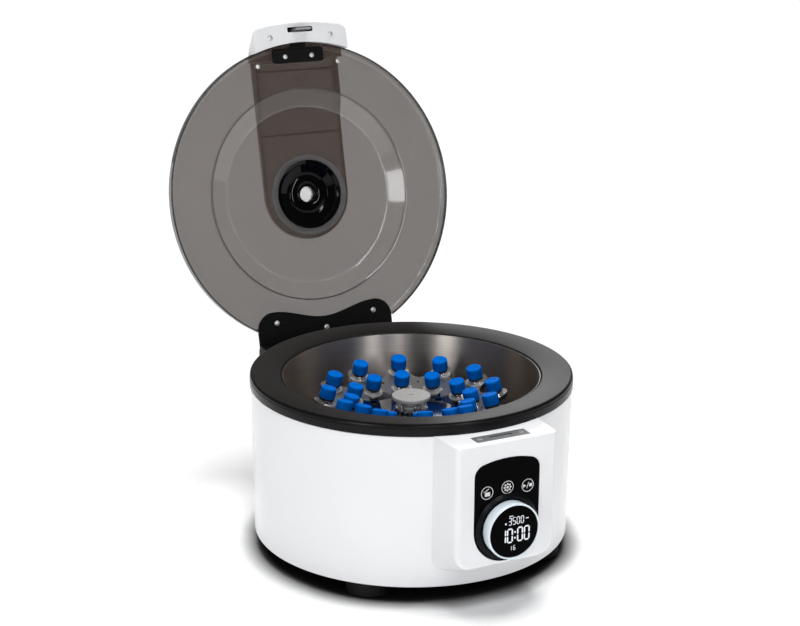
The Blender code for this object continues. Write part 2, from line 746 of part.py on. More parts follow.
def make_drive(materials, root, spindle):
    damper_low = BASE_TOP + TOUCH
    damper_top = damper_low + DAMPER_HEIGHT
    damper = [(DAMPER_HOLE_RADIUS, damper_low), (DAMPER_RADIUS, damper_low)]
    damper += [(DAMPER_RADIUS, damper_top), (DAMPER_HOLE_RADIUS, damper_top)]
    add_object("motor_damper", lathe(damper, MEDIUM), materials["rubber"], root)
    low = MOTOR_Z
    top = MOTOR_TOP
    bore = SHAFT_RADIUS + 2 * RUNNING
    seat = BEARING_RADIUS + TOUCH
    motor = [
        (0, low),
        (MOTOR_FLANGE_RADIUS, low),
        (MOTOR_FLANGE_RADIUS, low + MOTOR_FLANGE_THICKNESS),
        (MOTOR_RADIUS, low + MOTOR_FLANGE_THICKNESS),
        (MOTOR_RADIUS, top - MOTOR_EDGE),
        (MOTOR_RADIUS - MOTOR_EDGE, top),
        (seat, top),
        (seat, top - BEARING_HEIGHT - TOUCH),
        (bore, top - BEARING_HEIGHT - TOUCH),
        (bore, low + SHAFT_START),
        (0, low + SHAFT_START),
    ]
    add_object("motor_body", lathe(motor, MEDIUM), materials["motor"], root)
    hole = SHAFT_RADIUS + RUNNING / 2
    bearing = [(hole, top - BEARING_HEIGHT), (BEARING_RADIUS, top - BEARING_HEIGHT)]
    bearing += [(BEARING_RADIUS, top), (hole, top)]
    add_object("motor_bearing", lathe(bearing, MEDIUM), materials["steel"], root)
    shaft_low = low + SHAFT_START + RUNNING
    shaft_top = HUB_TOP + TOUCH + NUT_HEIGHT - NUT_ROOF - TOUCH
    shaft = cylinder(SHAFT_RADIUS, shaft_low, shaft_top, MEDIUM)
    add_object("motor_shaft", shaft, materials["steel"], spindle)


def make_boot(material, root):
    low = BOWL_FLOOR + TOUCH
    inner = SHAFT_RADIUS + BOOT_SHAFT_GAP
    plug = BOWL_HOLE_RADIUS - TOUCH
    top = low + BOOT_HEIGHT
    profile = [
        (plug, low - BOWL_WALL),
        (plug, low),
        (BOOT_FLANGE_RADIUS, low),
        (BOOT_FLANGE_RADIUS, low + BOOT_FLANGE_THICKNESS),
        (BOOT_NECK_RADIUS, low + 2 * BOOT_FLANGE_THICKNESS),
        (BOOT_NECK_RADIUS, top - BOOT_WALL),
        (inner + BOOT_WALL, top),
        (inner, top),
        (inner, top - BOOT_WALL),
        (BOOT_NECK_RADIUS - BOOT_WALL, top - 2 * BOOT_WALL),
        (BOOT_NECK_RADIUS - BOOT_WALL, low - BOWL_WALL),
    ]
    add_object("shaft_boot", lathe(profile, MEDIUM), material, root)


def tube_rows():
    """Each row of tubes: its name, and the radius and height of its cap centres."""
    return {
        "outer": (OUTER_CAP_RADIUS, OUTER_CAP_HEIGHT),
        "inner": (INNER_CAP_RADIUS, INNER_CAP_HEIGHT),
    }


def tube_frames():
    """Where each cap centre lies, with local Z along the tube and the cap leaning inwards."""
    frames = {}
    for row, (radius, height) in tube_rows().items():
        for spoke in range(SPOKES):
            turn = FIRST_SPOKE_ANGLE + 2 * math.pi * spoke / SPOKES
            lean = Matrix.Rotation(-TUBE_TILT, 4, "Y")
            place = Matrix.Translation((radius, 0, height))
            frames[f"tube_{row}_{spoke + 1:02d}"] = (
                Matrix.Rotation(turn, 4, "Z") @ place @ lean
            )
    return frames


def make_rotor(material, spindle):
    bore = SHAFT_RADIUS + TOUCH
    outer = plate_point(OUTER_CAP_RADIUS, OUTER_CAP_HEIGHT)
    inner = plate_point(INNER_CAP_RADIUS, INNER_CAP_HEIGHT)
    slope = (outer[1] - inner[1]) / (outer[0] - inner[0])
    rim = (outer[0] + PLATE_OVERHANG, outer[1] + PLATE_OVERHANG * slope)
    upper = [(bore, HUB_TOP), (HUB_RADIUS, HUB_TOP), (HUB_RADIUS, DISH_HEIGHT)]
    upper += [(DISH_RADIUS, DISH_HEIGHT), inner, rim]
    under = [(radius, height - PLATE_THICKNESS) for radius, height in reversed(upper[2:])]
    foot = HUB_TOP - HUB_LENGTH
    profile = upper + under + [(HUB_RADIUS, foot), (bore, foot)]
    rotor = add_object("rotor", lathe(profile, FINE), material, spindle)
    bore_radius = TUBE_RADIUS + SLEEVE_CLEARANCE
    pocket = -TUBE_REACH - TOUCH
    sleeves = bmesh.new()
    pockets = bmesh.new()
    for frame in tube_frames().values():
        sleeve = cylinder(
            bore_radius + SLEEVE_WALL, pocket - SLEEVE_BASE, -SLEEVE_DROP, TUBE_FACETS
        )
        append(sleeves, placed(sleeve, frame))
        hollow = cylinder(bore_radius, pocket, OVERRUN - SLEEVE_DROP, TUBE_FACETS)
        append(pockets, placed(hollow, frame))
    join(rotor, "sleeves", sleeves)
    cut(rotor, "tube_pockets", pockets)


def plate_point(radius, height):
    """Where a row's tubes pass through the plate's top, measured down from the cap centre."""
    down = PLATE_DROP
    return (radius + down * math.sin(TUBE_TILT), height - down * math.cos(TUBE_TILT))


def append(target, extra):
    """Move the contents of one bmesh into another."""
    mesh = bpy.data.meshes.new("scratch")
    extra.to_mesh(mesh)
    extra.free()
    target.from_mesh(mesh)
    bpy.data.meshes.remove(mesh)


def make_tubes(material, spindle):
    half = CAP_HEIGHT / 2
    tip = -TUBE_REACH
    profile = [
        (0, half),
        (CAP_RADIUS - CAP_EDGE, half),
        (CAP_RADIUS, half - CAP_EDGE),
        (CAP_RADIUS, -half),
        (TUBE_RADIUS, -half),
        (TUBE_RADIUS, tip + TUBE_TIP_HEIGHT),
        (0, tip),
    ]
    for name, frame in tube_frames().items():
        tube = add_object(name, lathe(profile, TUBE_FACETS), material, spindle)
        tube.matrix_local = frame


def make_nut(material, spindle):
    low = HUB_TOP + TOUCH
    top = low + NUT_HEIGHT
    bore = SHAFT_RADIUS + TOUCH
    profile = [
        (bore, low),
        (NUT_NECK_RADIUS, low),
        (NUT_NECK_RADIUS, top - NUT_DISC_HEIGHT),
        (NUT_RADIUS, top - NUT_DISC_HEIGHT),
        (NUT_RADIUS, top),
        (0, top),
        (0, top - NUT_ROOF),
        (bore, top - NUT_ROOF),
    ]
    add_object("rotor_nut", lathe(profile, MEDIUM), material, spindle)


def key_places():
    """Each key's name and the centre of its face, seen from the front."""
    return {
        "key_lid": (-KEY_SPACING, KEY_HEIGHT),
        "key_settings": (0, KEY_HEIGHT + KEY_MIDDLE_RISE),
        "key_start": (KEY_SPACING, KEY_HEIGHT),
    }


def make_panel(material, root):
    plate = front_prism(panel_outline(0), PANEL_BACK, PANEL_FACE)
    panel = add_object("control_panel", plate, material, root)
    sunk = PANEL_FACE - PANEL_THICKNESS / 2
    proud = PANEL_FACE + BEZEL_HEIGHT
    bezel = [(BEZEL_INNER_RADIUS, sunk), (BEZEL_OUTER_RADIUS, sunk)]
    bezel += [(BEZEL_OUTER_RADIUS, proud), (BEZEL_INNER_RADIUS, proud)]
    join(panel, "bezel", along_y(lathe(bezel, MEDIUM), 0, KNOB_HEIGHT))
    for number, (x, z) in enumerate(post_places(), start=1):
        post = cylinder(POST_RADIUS, BOARD_FACE + TOUCH, sunk, SMALL)
        join(panel, f"post_{number}", along_y(post, x, z))
    low = PANEL_BACK - OVERRUN
    high = PANEL_FACE + OVERRUN
    stem_hole = cylinder(KNOB_STEM_RADIUS + RUNNING, low, high, MEDIUM)
    cut(panel, "stem_hole", along_y(stem_hole, 0, KNOB_HEIGHT))
    for name, (x, z) in key_places().items():
        hole = cylinder(KEY_RADIUS + RUNNING, low, high, MEDIUM)
        cut(panel, f"{name}_hole", along_y(hole, x, z))


def post_places():
    """The four posts that carry the control board behind the panel."""
    x = BOARD_WIDTH / 2 - 2 * POST_RADIUS
    return [(side, height) for side in (-x, x) for height in (BOARD_LOW + x, BOARD_HIGH - x / 2)]


def make_control_board(material, root):
    board = box(
        spread(BOARD_WIDTH / 2), (-BOARD_FACE, BOARD_THICKNESS - BOARD_FACE), (BOARD_LOW, BOARD_HIGH)
    )
    add_object("control_board", board, material, root)


def make_keys(material, root):
    back = PANEL_FACE - KEY_THICKNESS
    for name, (x, z) in key_places().items():
        profile = [
            (0, BOARD_FACE + KEY_TRAVEL + TOUCH),
            (KEY_STEM_RADIUS, BOARD_FACE + KEY_TRAVEL + TOUCH),
            (KEY_STEM_RADIUS, back),
            (KEY_RADIUS, back),
            (KEY_RADIUS, PANEL_FACE),
            (0, PANEL_FACE),
        ]
        key = along_y(lathe(profile, MEDIUM), x, z)
        add_object(name, key, material, root, (x, -PANEL_FACE, z))


def make_knob(materials, root):
    centre = (0, -PANEL_FACE, KNOB_HEIGHT)
    front = KNOB_FACE - DISPLAY_INSET
    stem_end = BOARD_FACE + KNOB_TRAVEL + TOUCH
    lens_radius = KNOB_RADIUS - KNOB_RIM - RUNNING
    display = [
        (0, stem_end),
        (KNOB_STEM_RADIUS, stem_end),
        (KNOB_STEM_RADIUS, front - DISPLAY_THICKNESS),
        (lens_radius, front - DISPLAY_THICKNESS),
        (lens_radius, front),
        (0, front),
    ]
    lens = along_y(lathe(display, MEDIUM), 0, KNOB_HEIGHT)
    display_object = add_object("display", lens, materials["black_gloss"], root, centre)
    web_front = front - DISPLAY_THICKNESS - RUNNING
    back = PANEL_FACE + KNOB_TRAVEL + TOUCH
    hole = KNOB_STEM_RADIUS + RUNNING
    inner = KNOB_RADIUS - KNOB_RIM
    ring = [
        (hole, web_front - KNOB_WEB),
        (inner, web_front - KNOB_WEB),
        (inner, back),
        (KNOB_RADIUS, back),
        (KNOB_RADIUS, KNOB_FACE - KNOB_EDGE),
        (KNOB_RADIUS - KNOB_EDGE, KNOB_FACE),
        (inner, KNOB_FACE),
        (inner, web_front),
        (hole, web_front),
    ]
    rim = along_y(lathe(ring, MEDIUM), 0, KNOB_HEIGHT)
    bmesh.ops.translate(rim, verts=rim.verts, vec=-Vector(centre))
    add_object("knob_ring", rim, materials["silver"], display_object)


def make_latch(materials, root):
    top = POD_TOP + STRIKE_PROUD
    strike = box(
        spread(STRIKE_WIDTH / 2),
        (-HOOK_LINE - STRIKE_DEPTH / 2, -HOOK_LINE + STRIKE_DEPTH / 2),
        (top - STRIKE_THICKNESS, top),
    )
    plate = add_object("strike_plate", strike, materials["steel"], root)
    cut(plate, "strike_slot", strike_slot(top - STRIKE_THICKNESS - OVERRUN))
    nose = -HOOK_LINE + BOLT_SETBACK
    bolt = box(spread(BOLT_WIDTH / 2), (nose, nose + BOLT_LENGTH), bolt_levels(0))
    add_object("latch_bolt", bolt, materials["steel"], root, (0, nose, bolt_levels(0)[0]))


def make_inlet(material, root):
    face = REAR_BOSS_FACE + TOUCH
    outer = face + INLET_FLANGE_THICKNESS
    flange = rear_box(
        INLET_X, REAR_BOSS_MIDDLE, INLET_FLANGE_WIDTH, INLET_FLANGE_HEIGHT, face, outer
    )
    inlet = add_object("mains_inlet", flange, material, root)
    back = face - INLET_DEPTH
    middle = face + INLET_FLANGE_THICKNESS / 2
    body = rear_box(INLET_X, REAR_BOSS_MIDDLE, INLET_WIDTH, INLET_HEIGHT, back, middle)
    join(inlet, "inlet_body", body)
    socket = rear_box(
        INLET_X,
        REAR_BOSS_MIDDLE,
        INLET_WIDTH - 2 * INLET_WALL,
        INLET_HEIGHT - 2 * INLET_WALL,
        back + INLET_BACK,
        outer + OVERRUN,
    )
    cut(inlet, "inlet_socket", socket)
    root_of_pin = back + INLET_BACK / 2
    tip = back + INLET_BACK + INLET_PIN_LENGTH
    places = {
        "live": (-INLET_PIN_SPACING, -INLET_PIN_DROP),
        "neutral": (INLET_PIN_SPACING, -INLET_PIN_DROP),
        "earth": (0, INLET_PIN_DROP),
    }
    for name, (x, z) in places.items():
        pin = rear_box(
            INLET_X + x,
            REAR_BOSS_MIDDLE + z,
            INLET_PIN_THICKNESS,
            INLET_PIN_WIDTH,
            root_of_pin,
            tip,
        )
        join(inlet, f"inlet_pin_{name}", pin)


def make_switch(material, root):
    """The rocker, resting on its lower half and turning about X."""
    half = SWITCH_HEIGHT / 2
    face = REAR_BOSS_FACE
    outline = [
        (face - SWITCH_DEPTH, -half),
        (face, -half),
        (face + SWITCH_RIDGE, 0),
        (face, half),
        (face - SWITCH_DEPTH, half),
    ]
    centre = Vector((SWITCH_X, face - SWITCH_DEPTH / 2, REAR_BOSS_MIDDLE))
    rocker = placed(prism(outline, -SWITCH_WIDTH / 2, SWITCH_WIDTH / 2), FACING_RIGHT)
    bmesh.ops.translate(rocker, verts=rocker.verts, vec=(0, -centre.y, 0))
    switch = add_object("power_switch", rocker, material, root)
    switch.location = centre
    switch.rotation_euler.x = -SWITCH_TILT


def make_hinge(materials, root):
    half = SADDLE_WIDTH / 2 + RUNNING + HINGE_CHEEK
    back = PIVOT_Y + HINGE_DEPTH
    top = PIVOT_Z + HINGE_RISE
    low = top - HINGE_HEIGHT
    front = (DRUM_TOP_RADIUS**2 - half**2) ** 0.5 - OVERRUN
    outline = [
        (front, low),
        (back - HINGE_CHAMFER, low),
        (back, low + HINGE_CHAMFER),
        (back, top - HINGE_CHAMFER),
        (back - HINGE_CHAMFER, top),
        (front, top),
    ]
    body = placed(prism(outline, -half, half), FACING_RIGHT)
    block = add_object("hinge_block", body, materials["black"], root)
    drum = [
        (0, DRUM_Z),
        (drum_radius(DRUM_Z) + TOUCH, DRUM_Z),
        (drum_radius(DECK_Z) + TOUCH, DECK_Z),
        (0, DECK_Z),
    ]
    cut(block, "drum_seat", lathe(drum, FINE))
    trough = box(
        spread(SADDLE_WIDTH / 2 + RUNNING),
        (0, back + OVERRUN),
        (PIVOT_Z - HINGE_FLOOR_DROP, top + OVERRUN),
    )
    cut(block, "hinge_trough", trough)
    bore = cylinder(PIN_RADIUS + RUNNING, -half + HINGE_CHEEK / 2, half - HINGE_CHEEK / 2, SMALL)
    cut(block, "hinge_bore", along_x(bore, PIVOT_Y, PIVOT_Z))
    reach = half - HINGE_CHEEK / 2 - RUNNING
    pin = along_x(cylinder(PIN_RADIUS, -reach, reach, SMALL), PIVOT_Y, PIVOT_Z)
    add_object("hinge_pin", pin, materials["steel"], root, (0, PIVOT_Y, PIVOT_Z))


def closed(mesh_data):
    """Move a lid piece, drawn closed in the drum's space, into the hinge pin's space."""
    return placed(mesh_data, Matrix.Translation((0, -PIVOT_Y, -PIVOT_Z)))


def make_lid_shell(material, lid):
    inner_lip = LID_RADIUS - LID_LIP
    profile = [
        (LID_RADIUS, LID_Z - LID_LIP_DROP),
        (LID_RADIUS, LID_TOP - LID_EDGE),
        (LID_RADIUS - LID_EDGE, LID_TOP),
        (LID_STEP_OUTER_RADIUS, LID_TOP),
        (LID_STEP_INNER_RADIUS, LID_TOP + LID_STEP_RISE),
        (PORT_BODY_RADIUS + TOUCH, LID_TOP + LID_STEP_RISE),
        (PORT_BODY_RADIUS + TOUCH, LID_Z + LID_STEP_RISE),
        (LID_STEP_INNER_RADIUS, LID_Z + LID_STEP_RISE),
        (LID_STEP_OUTER_RADIUS, LID_Z),
        (inner_lip, LID_Z),
        (inner_lip, LID_Z - LID_LIP_DROP),
    ]
    shell = add_object("lid_shell", closed(lathe(profile, FINE)), material, lid)
    low = LID_Z - LID_LIP_DROP - OVERRUN
    rear = box(
        spread(SADDLE_WIDTH / 2 + TOUCH),
        (SADDLE_LOBE_Y - OVERRUN / 2, LID_RADIUS + OVERRUN),
        (low, LID_Z + TOUCH),
    )
    cut(shell, "saddle_notch", closed(rear))
    front = box(
        spread(HOOK_TONGUE_WIDTH / 2 + TOUCH),
        (-LID_RADIUS - OVERRUN, -HOOK_PLATE_START),
        (low, LID_Z + TOUCH),
    )
    cut(shell, "tongue_notch", closed(front))


def spine_outline(inset):
    """The cover's plan: straight sides and a round end about the lid's centre."""
    half = SPINE_WIDTH / 2 - inset
    end = arc((0, 0), half, 0, 180, SPINE_END_STEPS)
    return end + [(-half, inset - SPINE_END), (half, inset - SPINE_END)]


def bevel_top(mesh_data, top, size):
    """Round the edges that lie all along the highest face."""
    level = [
        edge
        for edge in mesh_data.edges
        if all(abs(vertex.co.z - top) < TOUCH for vertex in edge.verts)
    ]
    bmesh.ops.bevel(
        mesh_data,
        geom=level,
        offset=size,
        segments=BEVEL_STEPS,
        affect="EDGES",
        profile=ROUND_BEVEL_SHARE,
    )
    return mesh_data


def make_spine(material, lid):
    body = bevel_top(prism(spine_outline(0), LID_Z, SPINE_TOP), SPINE_TOP, SPINE_EDGE)
    spine = add_object("lid_spine", closed(body), material, lid)
    hollow = prism(spine_outline(SPINE_WALL), LID_Z - OVERRUN, SPINE_TOP - SPINE_WALL)
    cut(spine, "spine_inside", closed(hollow))
    under = [
        (0, LID_Z - OVERRUN),
        (LID_RADIUS, LID_Z - OVERRUN),
        (LID_RADIUS, LID_TOP + TOUCH),
        (LID_STEP_OUTER_RADIUS, LID_TOP + TOUCH),
        (LID_STEP_INNER_RADIUS, LID_TOP + LID_STEP_RISE + TOUCH),
        (0, LID_TOP + LID_STEP_RISE + TOUCH),
    ]
    cut(spine, "spine_seat", closed(lathe(under, FINE)))
    sight = cylinder(SIGHT_RADIUS, LID_Z, SPINE_TOP + OVERRUN, MEDIUM)
    cut(spine, "spine_sight", closed(sight))


def make_port(material, lid):
    underside = LID_Z + LID_STEP_RISE
    low = underside - TOUCH - PORT_FLANGE_THICKNESS
    top = SPINE_TOP - SPINE_WALL - TOUCH
    profile = [
        (PORT_FLANGE_RADIUS, low),
        (PORT_FLANGE_RADIUS, underside - TOUCH),
        (PORT_BODY_RADIUS, underside - TOUCH),
        (PORT_BODY_RADIUS, top),
        (0, top),
        (0, top - SIGHT_WINDOW),
        (SIGHT_RADIUS, top - SIGHT_WINDOW),
        (SIGHT_RADIUS, low + PORT_FLOOR_DEPTH),
        (PORT_FLOOR_RADIUS, low + PORT_FLOOR_DEPTH),
        (PORT_MOUTH_RADIUS, low),
    ]
    add_object("lid_port", closed(lathe(profile, MEDIUM)), material, lid)


def rounding(radius, along):
    """How far a rounded edge has dropped, this far along from where it starts."""
    return radius - (radius**2 - max(along, 0) ** 2) ** 0.5


def handle_section(x):
    """The handle seen from the side, at one place across its width."""
    half = HANDLE_WIDTH / 2
    start = SPINE_END + TOUCH
    top = SPINE_TOP - rounding(HANDLE_EDGE_RADIUS, abs(x) - half + HANDLE_EDGE_RADIUS)
    reach = POD_FRONT - HANDLE_SETBACK - HANDLE_FRONT_BOW * (x / half) ** 2
    reach -= rounding(HANDLE_CORNER_RADIUS, abs(x) - half + HANDLE_CORNER_RADIUS)
    drop = top - HANDLE_Z - HANDLE_FRONT_LIP
    crown = []
    for step in range(HANDLE_STATIONS + 1):
        share = step / HANDLE_STATIONS
        crown.append((x, -start - share * (reach - start), top - drop * share**HANDLE_CURVE))
    return [(x, -start, HANDLE_Z)] + crown + [(x, -reach, HANDLE_Z)]


def make_handle(material, lid):
    half = HANDLE_WIDTH / 2
    right = [x for x, _ in arc((half - HANDLE_EDGE_RADIUS, 0), HANDLE_EDGE_RADIUS, 90, 0)]
    middle = [half * place for place in HANDLE_MIDDLE_SHARES]
    left = [-x for x in reversed(right)]
    body = loft([handle_section(x) for x in left + middle + right])
    handle = add_object("lid_handle", closed(body), material, lid)
    under = cylinder(LID_RADIUS + TOUCH, HANDLE_Z - OVERRUN, LID_TOP + TOUCH, FINE)
    cut(handle, "lid_seat", closed(under))
    slot = box(
        spread(HANDLE_SLOT_WIDTH / 2),
        (-HOOK_LINE - HANDLE_SLOT_DEPTH / 2, -HOOK_LINE + HANDLE_SLOT_DEPTH / 2),
        (HANDLE_Z - OVERRUN, LID_Z + TOUCH),
    )
    cut(handle, "handle_slot", closed(slot))
    tongue = box(
        spread(HOOK_TONGUE_WIDTH / 2 + TOUCH),
        (-HOOK_LINE - HANDLE_SLOT_DEPTH / 2, OVERRUN - LID_RADIUS),
        (LID_Z - 2 * TOUCH - HOOK_THICKNESS, LID_Z),
    )
    cut(handle, "tongue_cavity", closed(tongue))


def make_hook(material, lid):
    """The hook's plate under the lid, its tongue through the handle and its tab below the slot."""
    top = LID_Z - TOUCH
    low = top - HOOK_THICKNESS
    start = HOOK_PLATE_START
    end = HOOK_PLATE_END
    plate = box(spread(HOOK_PLATE_WIDTH / 2), (-end, -start), (low, top))
    hook = add_object("latch_hook", closed(plate), material, lid)
    thin = HOOK_THICKNESS * HOOK_INSET_SHARE
    tab_front = -HOOK_LINE - HOOK_TAB_THICKNESS / 2
    tongue = box(
        spread(HOOK_TONGUE_WIDTH / 2),
        (tab_front, -(start + end) / 2),
        (low + thin, top - thin),
    )
    join(hook, "hook_tongue", closed(tongue))
    foot = bolt_levels(HOOK_WINDOW_CLEARANCE)[0] - HOOK_TAB_FOOT
    tab = box(
        spread(HOOK_TAB_WIDTH / 2),
        (tab_front + thin, tab_front + HOOK_TAB_THICKNESS),
        (foot, top - 2 * thin),
    )
    join(hook, "hook_tab", closed(tab))
    window = box(
        spread(BOLT_WIDTH / 2 + HOOK_WINDOW_CLEARANCE),
        (tab_front - OVERRUN, tab_front + HOOK_TAB_THICKNESS + OVERRUN),
        bolt_levels(HOOK_WINDOW_CLEARANCE),
    )
    cut(hook, "hook_window", closed(window))


def saddle_outline():
    """The saddle's plan: two round lobes with a smooth dip between them, straight to the hinge."""
    half = SADDLE_WIDTH / 2
    lobe = SADDLE_LOBE_RADIUS
    lobe_x = half - lobe
    back = PIVOT_Y + BARREL_RADIUS
    left = arc((-lobe_x, SADDLE_LOBE_Y + lobe), lobe, 180, 270)
    right = arc((lobe_x, SADDLE_LOBE_Y + lobe), lobe, 270, 360)
    dip = []
    steps = 2 * ARC_STEPS
    for step in range(1, steps):
        across = step / steps
        depth = SADDLE_DIP * (1 - math.cos(2 * math.pi * across)) / 2
        dip.append((lobe_x * (2 * across - 1), SADDLE_LOBE_Y + depth))
    return left + dip + right + [(half, back), (-half, back)]


def make_saddle(material, lid):
    top = LID_Z - TOUCH
    low = top - SADDLE_THICKNESS
    plate = prism(saddle_outline(), low, top)
    saddle = add_object("hinge_saddle", closed(plate), material, lid)
    inset = SADDLE_WEB_INSET
    half = SADDLE_WIDTH / 2 - inset
    back = PIVOT_Y + BARREL_RADIUS - inset
    web = box(spread(half), (back - SADDLE_WEB_THICKNESS, back), (PIVOT_Z, top - inset))
    join(saddle, "saddle_web", closed(web))
    end = SADDLE_WIDTH / 2 - inset / 2
    barrel = along_x(cylinder(BARREL_RADIUS, -end, end, SMALL), PIVOT_Y, PIVOT_Z)
    join(saddle, "saddle_barrel", closed(barrel))
    reach = SADDLE_WIDTH / 2 + OVERRUN
    bore = along_x(cylinder(PIN_RADIUS + RUNNING, -reach, reach, SMALL), PIVOT_Y, PIVOT_Z)
    cut(saddle, "saddle_bore", closed(bore))


def make_lid(materials, root):
    lid = add_empty("lid_pivot", (0, PIVOT_Y, PIVOT_Z), root)
    lid.rotation_euler.x = -LID_OPEN_ANGLE
    make_lid_shell(materials["smoke"], lid)
    make_spine(materials["dark_smoke"], lid)
    make_port(materials["black_gloss"], lid)
    make_handle(materials["white"], lid)
    make_hook(materials["black"], lid)
    make_saddle(materials["black"], lid)


def make_materials():
    return {
        "white": make_material("white_gloss", (0.90, 0.90, 0.92), 0.25),
        "black": make_material("black_satin", (0.012, 0.012, 0.014), 0.45),
        "black_gloss": make_material("black_gloss", (0.004, 0.004, 0.005), 0.08),
        "rubber": make_material("dark_rubber", (0.02, 0.02, 0.02), 0.8),
        "steel": make_material("brushed_steel", (0.55, 0.55, 0.56), 0.35, 1.0),
        "aluminium": make_material("aluminium", (0.75, 0.75, 0.76), 0.3, 1.0),
        "silver": make_material("pale_silver", (0.72, 0.80, 0.88), 0.3),
        "motor": make_material("motor_zinc", (0.35, 0.36, 0.38), 0.5, 0.9),
        "board": make_material("board_green", (0.02, 0.16, 0.07), 0.5),
        "cap": make_material("cap_blue", (0.0, 0.12, 0.68), 0.4),
        "smoke": make_material("smoked_clear", (0.22, 0.19, 0.18), 0.08, 0.0, 0.6),
        "dark_smoke": make_material("dark_smoked_clear", (0.10, 0.09, 0.09), 0.1, 0.0, 0.75),
    }


def centre_outline(root):
    """Move the machine along Y, so that the origin lies under the middle of its outline."""
    bpy.context.view_layer.update()
    graph = bpy.context.evaluated_depsgraph_get()
    reach = []
    for thing in bpy.context.scene.objects:
        if thing.type == "MESH" and not thing.hide_render:
            shape = thing.evaluated_get(graph)
            reach += [(shape.matrix_world @ corner.co).y for corner in shape.data.vertices]
    root.location.y = -(min(reach) + max(reach)) / 2


def main():
    clear_scene()
    materials = make_materials()
    root = add_empty("centrifuge")
    spindle = add_empty("spindle", (0, 0, 0), root)
    make_housing(materials["white"], root)
    make_base(materials["steel"], root)
    make_feet(materials["rubber"], root)
    make_power_board(materials["board"], root)
    make_collar(materials["black"], root)
    make_bowl(materials["steel"], root)
    make_seal(materials["rubber"], root)
    make_drive(materials, root, spindle)
    make_boot(materials["rubber"], root)
    make_rotor(materials["aluminium"], spindle)
    make_nut(materials["aluminium"], spindle)
    make_tubes(materials["cap"], spindle)
    make_panel(materials["black_gloss"], root)
    make_control_board(materials["board"], root)
    make_keys(materials["black_gloss"], root)
    make_knob(materials, root)
    make_latch(materials, root)
    make_inlet(materials["black"], root)
    make_switch(materials["black"], root)
    make_hinge(materials, root)
    make_lid(materials, root)
    centre_outline(root)


main()
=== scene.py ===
import math

import bmesh
import bpy
from mathutils import Matrix, Vector


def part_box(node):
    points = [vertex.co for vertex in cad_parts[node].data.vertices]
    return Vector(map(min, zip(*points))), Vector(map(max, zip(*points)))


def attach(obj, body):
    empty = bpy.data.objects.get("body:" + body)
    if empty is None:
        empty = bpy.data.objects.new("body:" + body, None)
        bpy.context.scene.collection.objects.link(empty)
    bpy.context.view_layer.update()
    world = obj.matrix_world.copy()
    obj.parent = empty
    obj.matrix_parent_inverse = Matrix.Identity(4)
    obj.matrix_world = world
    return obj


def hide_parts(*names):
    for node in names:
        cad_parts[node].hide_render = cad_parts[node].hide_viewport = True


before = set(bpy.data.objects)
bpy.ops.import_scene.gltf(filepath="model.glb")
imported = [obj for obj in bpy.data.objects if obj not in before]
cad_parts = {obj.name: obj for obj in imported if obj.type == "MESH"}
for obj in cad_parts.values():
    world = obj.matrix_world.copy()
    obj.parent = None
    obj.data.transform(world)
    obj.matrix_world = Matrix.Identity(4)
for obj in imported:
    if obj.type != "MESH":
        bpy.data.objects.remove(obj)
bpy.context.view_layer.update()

# Sizes repeated from the model, in metres, about the drum's own axis
TOUCH = 0.0003
OVERRUN = 0.004
FOOT_RADIUS = 0.0215
FOOT_HEIGHT = 0.0165
FOOT_CIRCLE_RADIUS = 0.137
DRUM_Z = FOOT_HEIGHT
DRUM_TOP_RADIUS = 0.164
DRUM_BOTTOM_RADIUS = 0.1625
DRUM_WALL = 0.003
DECK_Z = 0.171691
DECK_THICKNESS = 0.003
DECK_HOLE_RADIUS = 0.1337
POD_WIDTH = 0.108
POD_FRONT = 0.1955
POD_BACK = 0.148
POD_TOP = DECK_Z + 0.0009
POD_CEILING = POD_TOP - 0.0042
POD_WALL = 0.004
POD_FACE_LIFT = 0.0305
POD_CHIN_DROP = 0.018
POD_FLARE = 0.003
POD_EDGE_RADIUS = 0.005
POD_TOP_EDGE_RADIUS = 0.0015
POD_CORNER_RADIUS = 0.018
# Half width, depth, and how far below and above the pod's ceiling
LATCH_BOSS = (0.008, 0.020, 0.008, 0.002)
BOLT_CHANNEL = (0.0039, 0.024, 0.003)
COLLAR_Z = DECK_Z + TOUCH
COLLAR_TOP = COLLAR_Z + 0.0125
COLLAR_RADIUS = 0.165
COLLAR_TOP_RADIUS = 0.1627
COLLAR_INNER_RADIUS = 0.133
BOWL_RADIUS = 0.131
BOWL_WALL = 0.0012
BOWL_FLOOR = 0.0672
BOWL_CORNER = 0.012
BOWL_BOOT_HOLE = 0.020
FLANGE_TOP = COLLAR_Z + BOWL_WALL
FLANGE_RADIUS = 0.1452
BOWL_RIM = COLLAR_Z + 0.0078
BOWL_ROLL_RADIUS = BOWL_RADIUS + 0.0009
SEAL_RADIUS = 0.1328
SPOKES = 12
FIRST_SPOKE_ANGLE = math.radians(11.5)
TUBE_TILT = math.radians(15)
OUTER_CAP = (0.0856, 0.162591)
INNER_CAP = (0.0622, 0.152591)
CAP_RADIUS = 0.00815
CAP_HALF = 0.0055
CAP_SKIRT_RADIUS = 0.0079
CAP_SKIRT_DROP = 0.0021
TUBE_RADIUS = 0.0065
TUBE_REACH = 0.0707
SLEEVE_RADIUS = 0.0085
SLEEVE_BORE = 0.0069
SLEEVE_WALL = 0.0005
SLEEVE_FLOOR = 0.002
SLEEVE_HOLE = (SLEEVE_RADIUS - 0.0004, -0.030, -0.004)
WASHER_RADIUS = 0.0112
WASHER_THICKNESS = 0.0012
PLATE_DROP = 0.012
PLATE_THICKNESS = 0.004
PLATE_OVERHANG = 0.012
DISH_RADIUS = 0.048
DISH_HEIGHT = 0.136491
HUB_RADIUS = 0.0175
HUB_TOP = 0.142991
HUB_LENGTH = 0.045
SHAFT_RADIUS = 0.005
LOBE_RADIUS = 0.0117
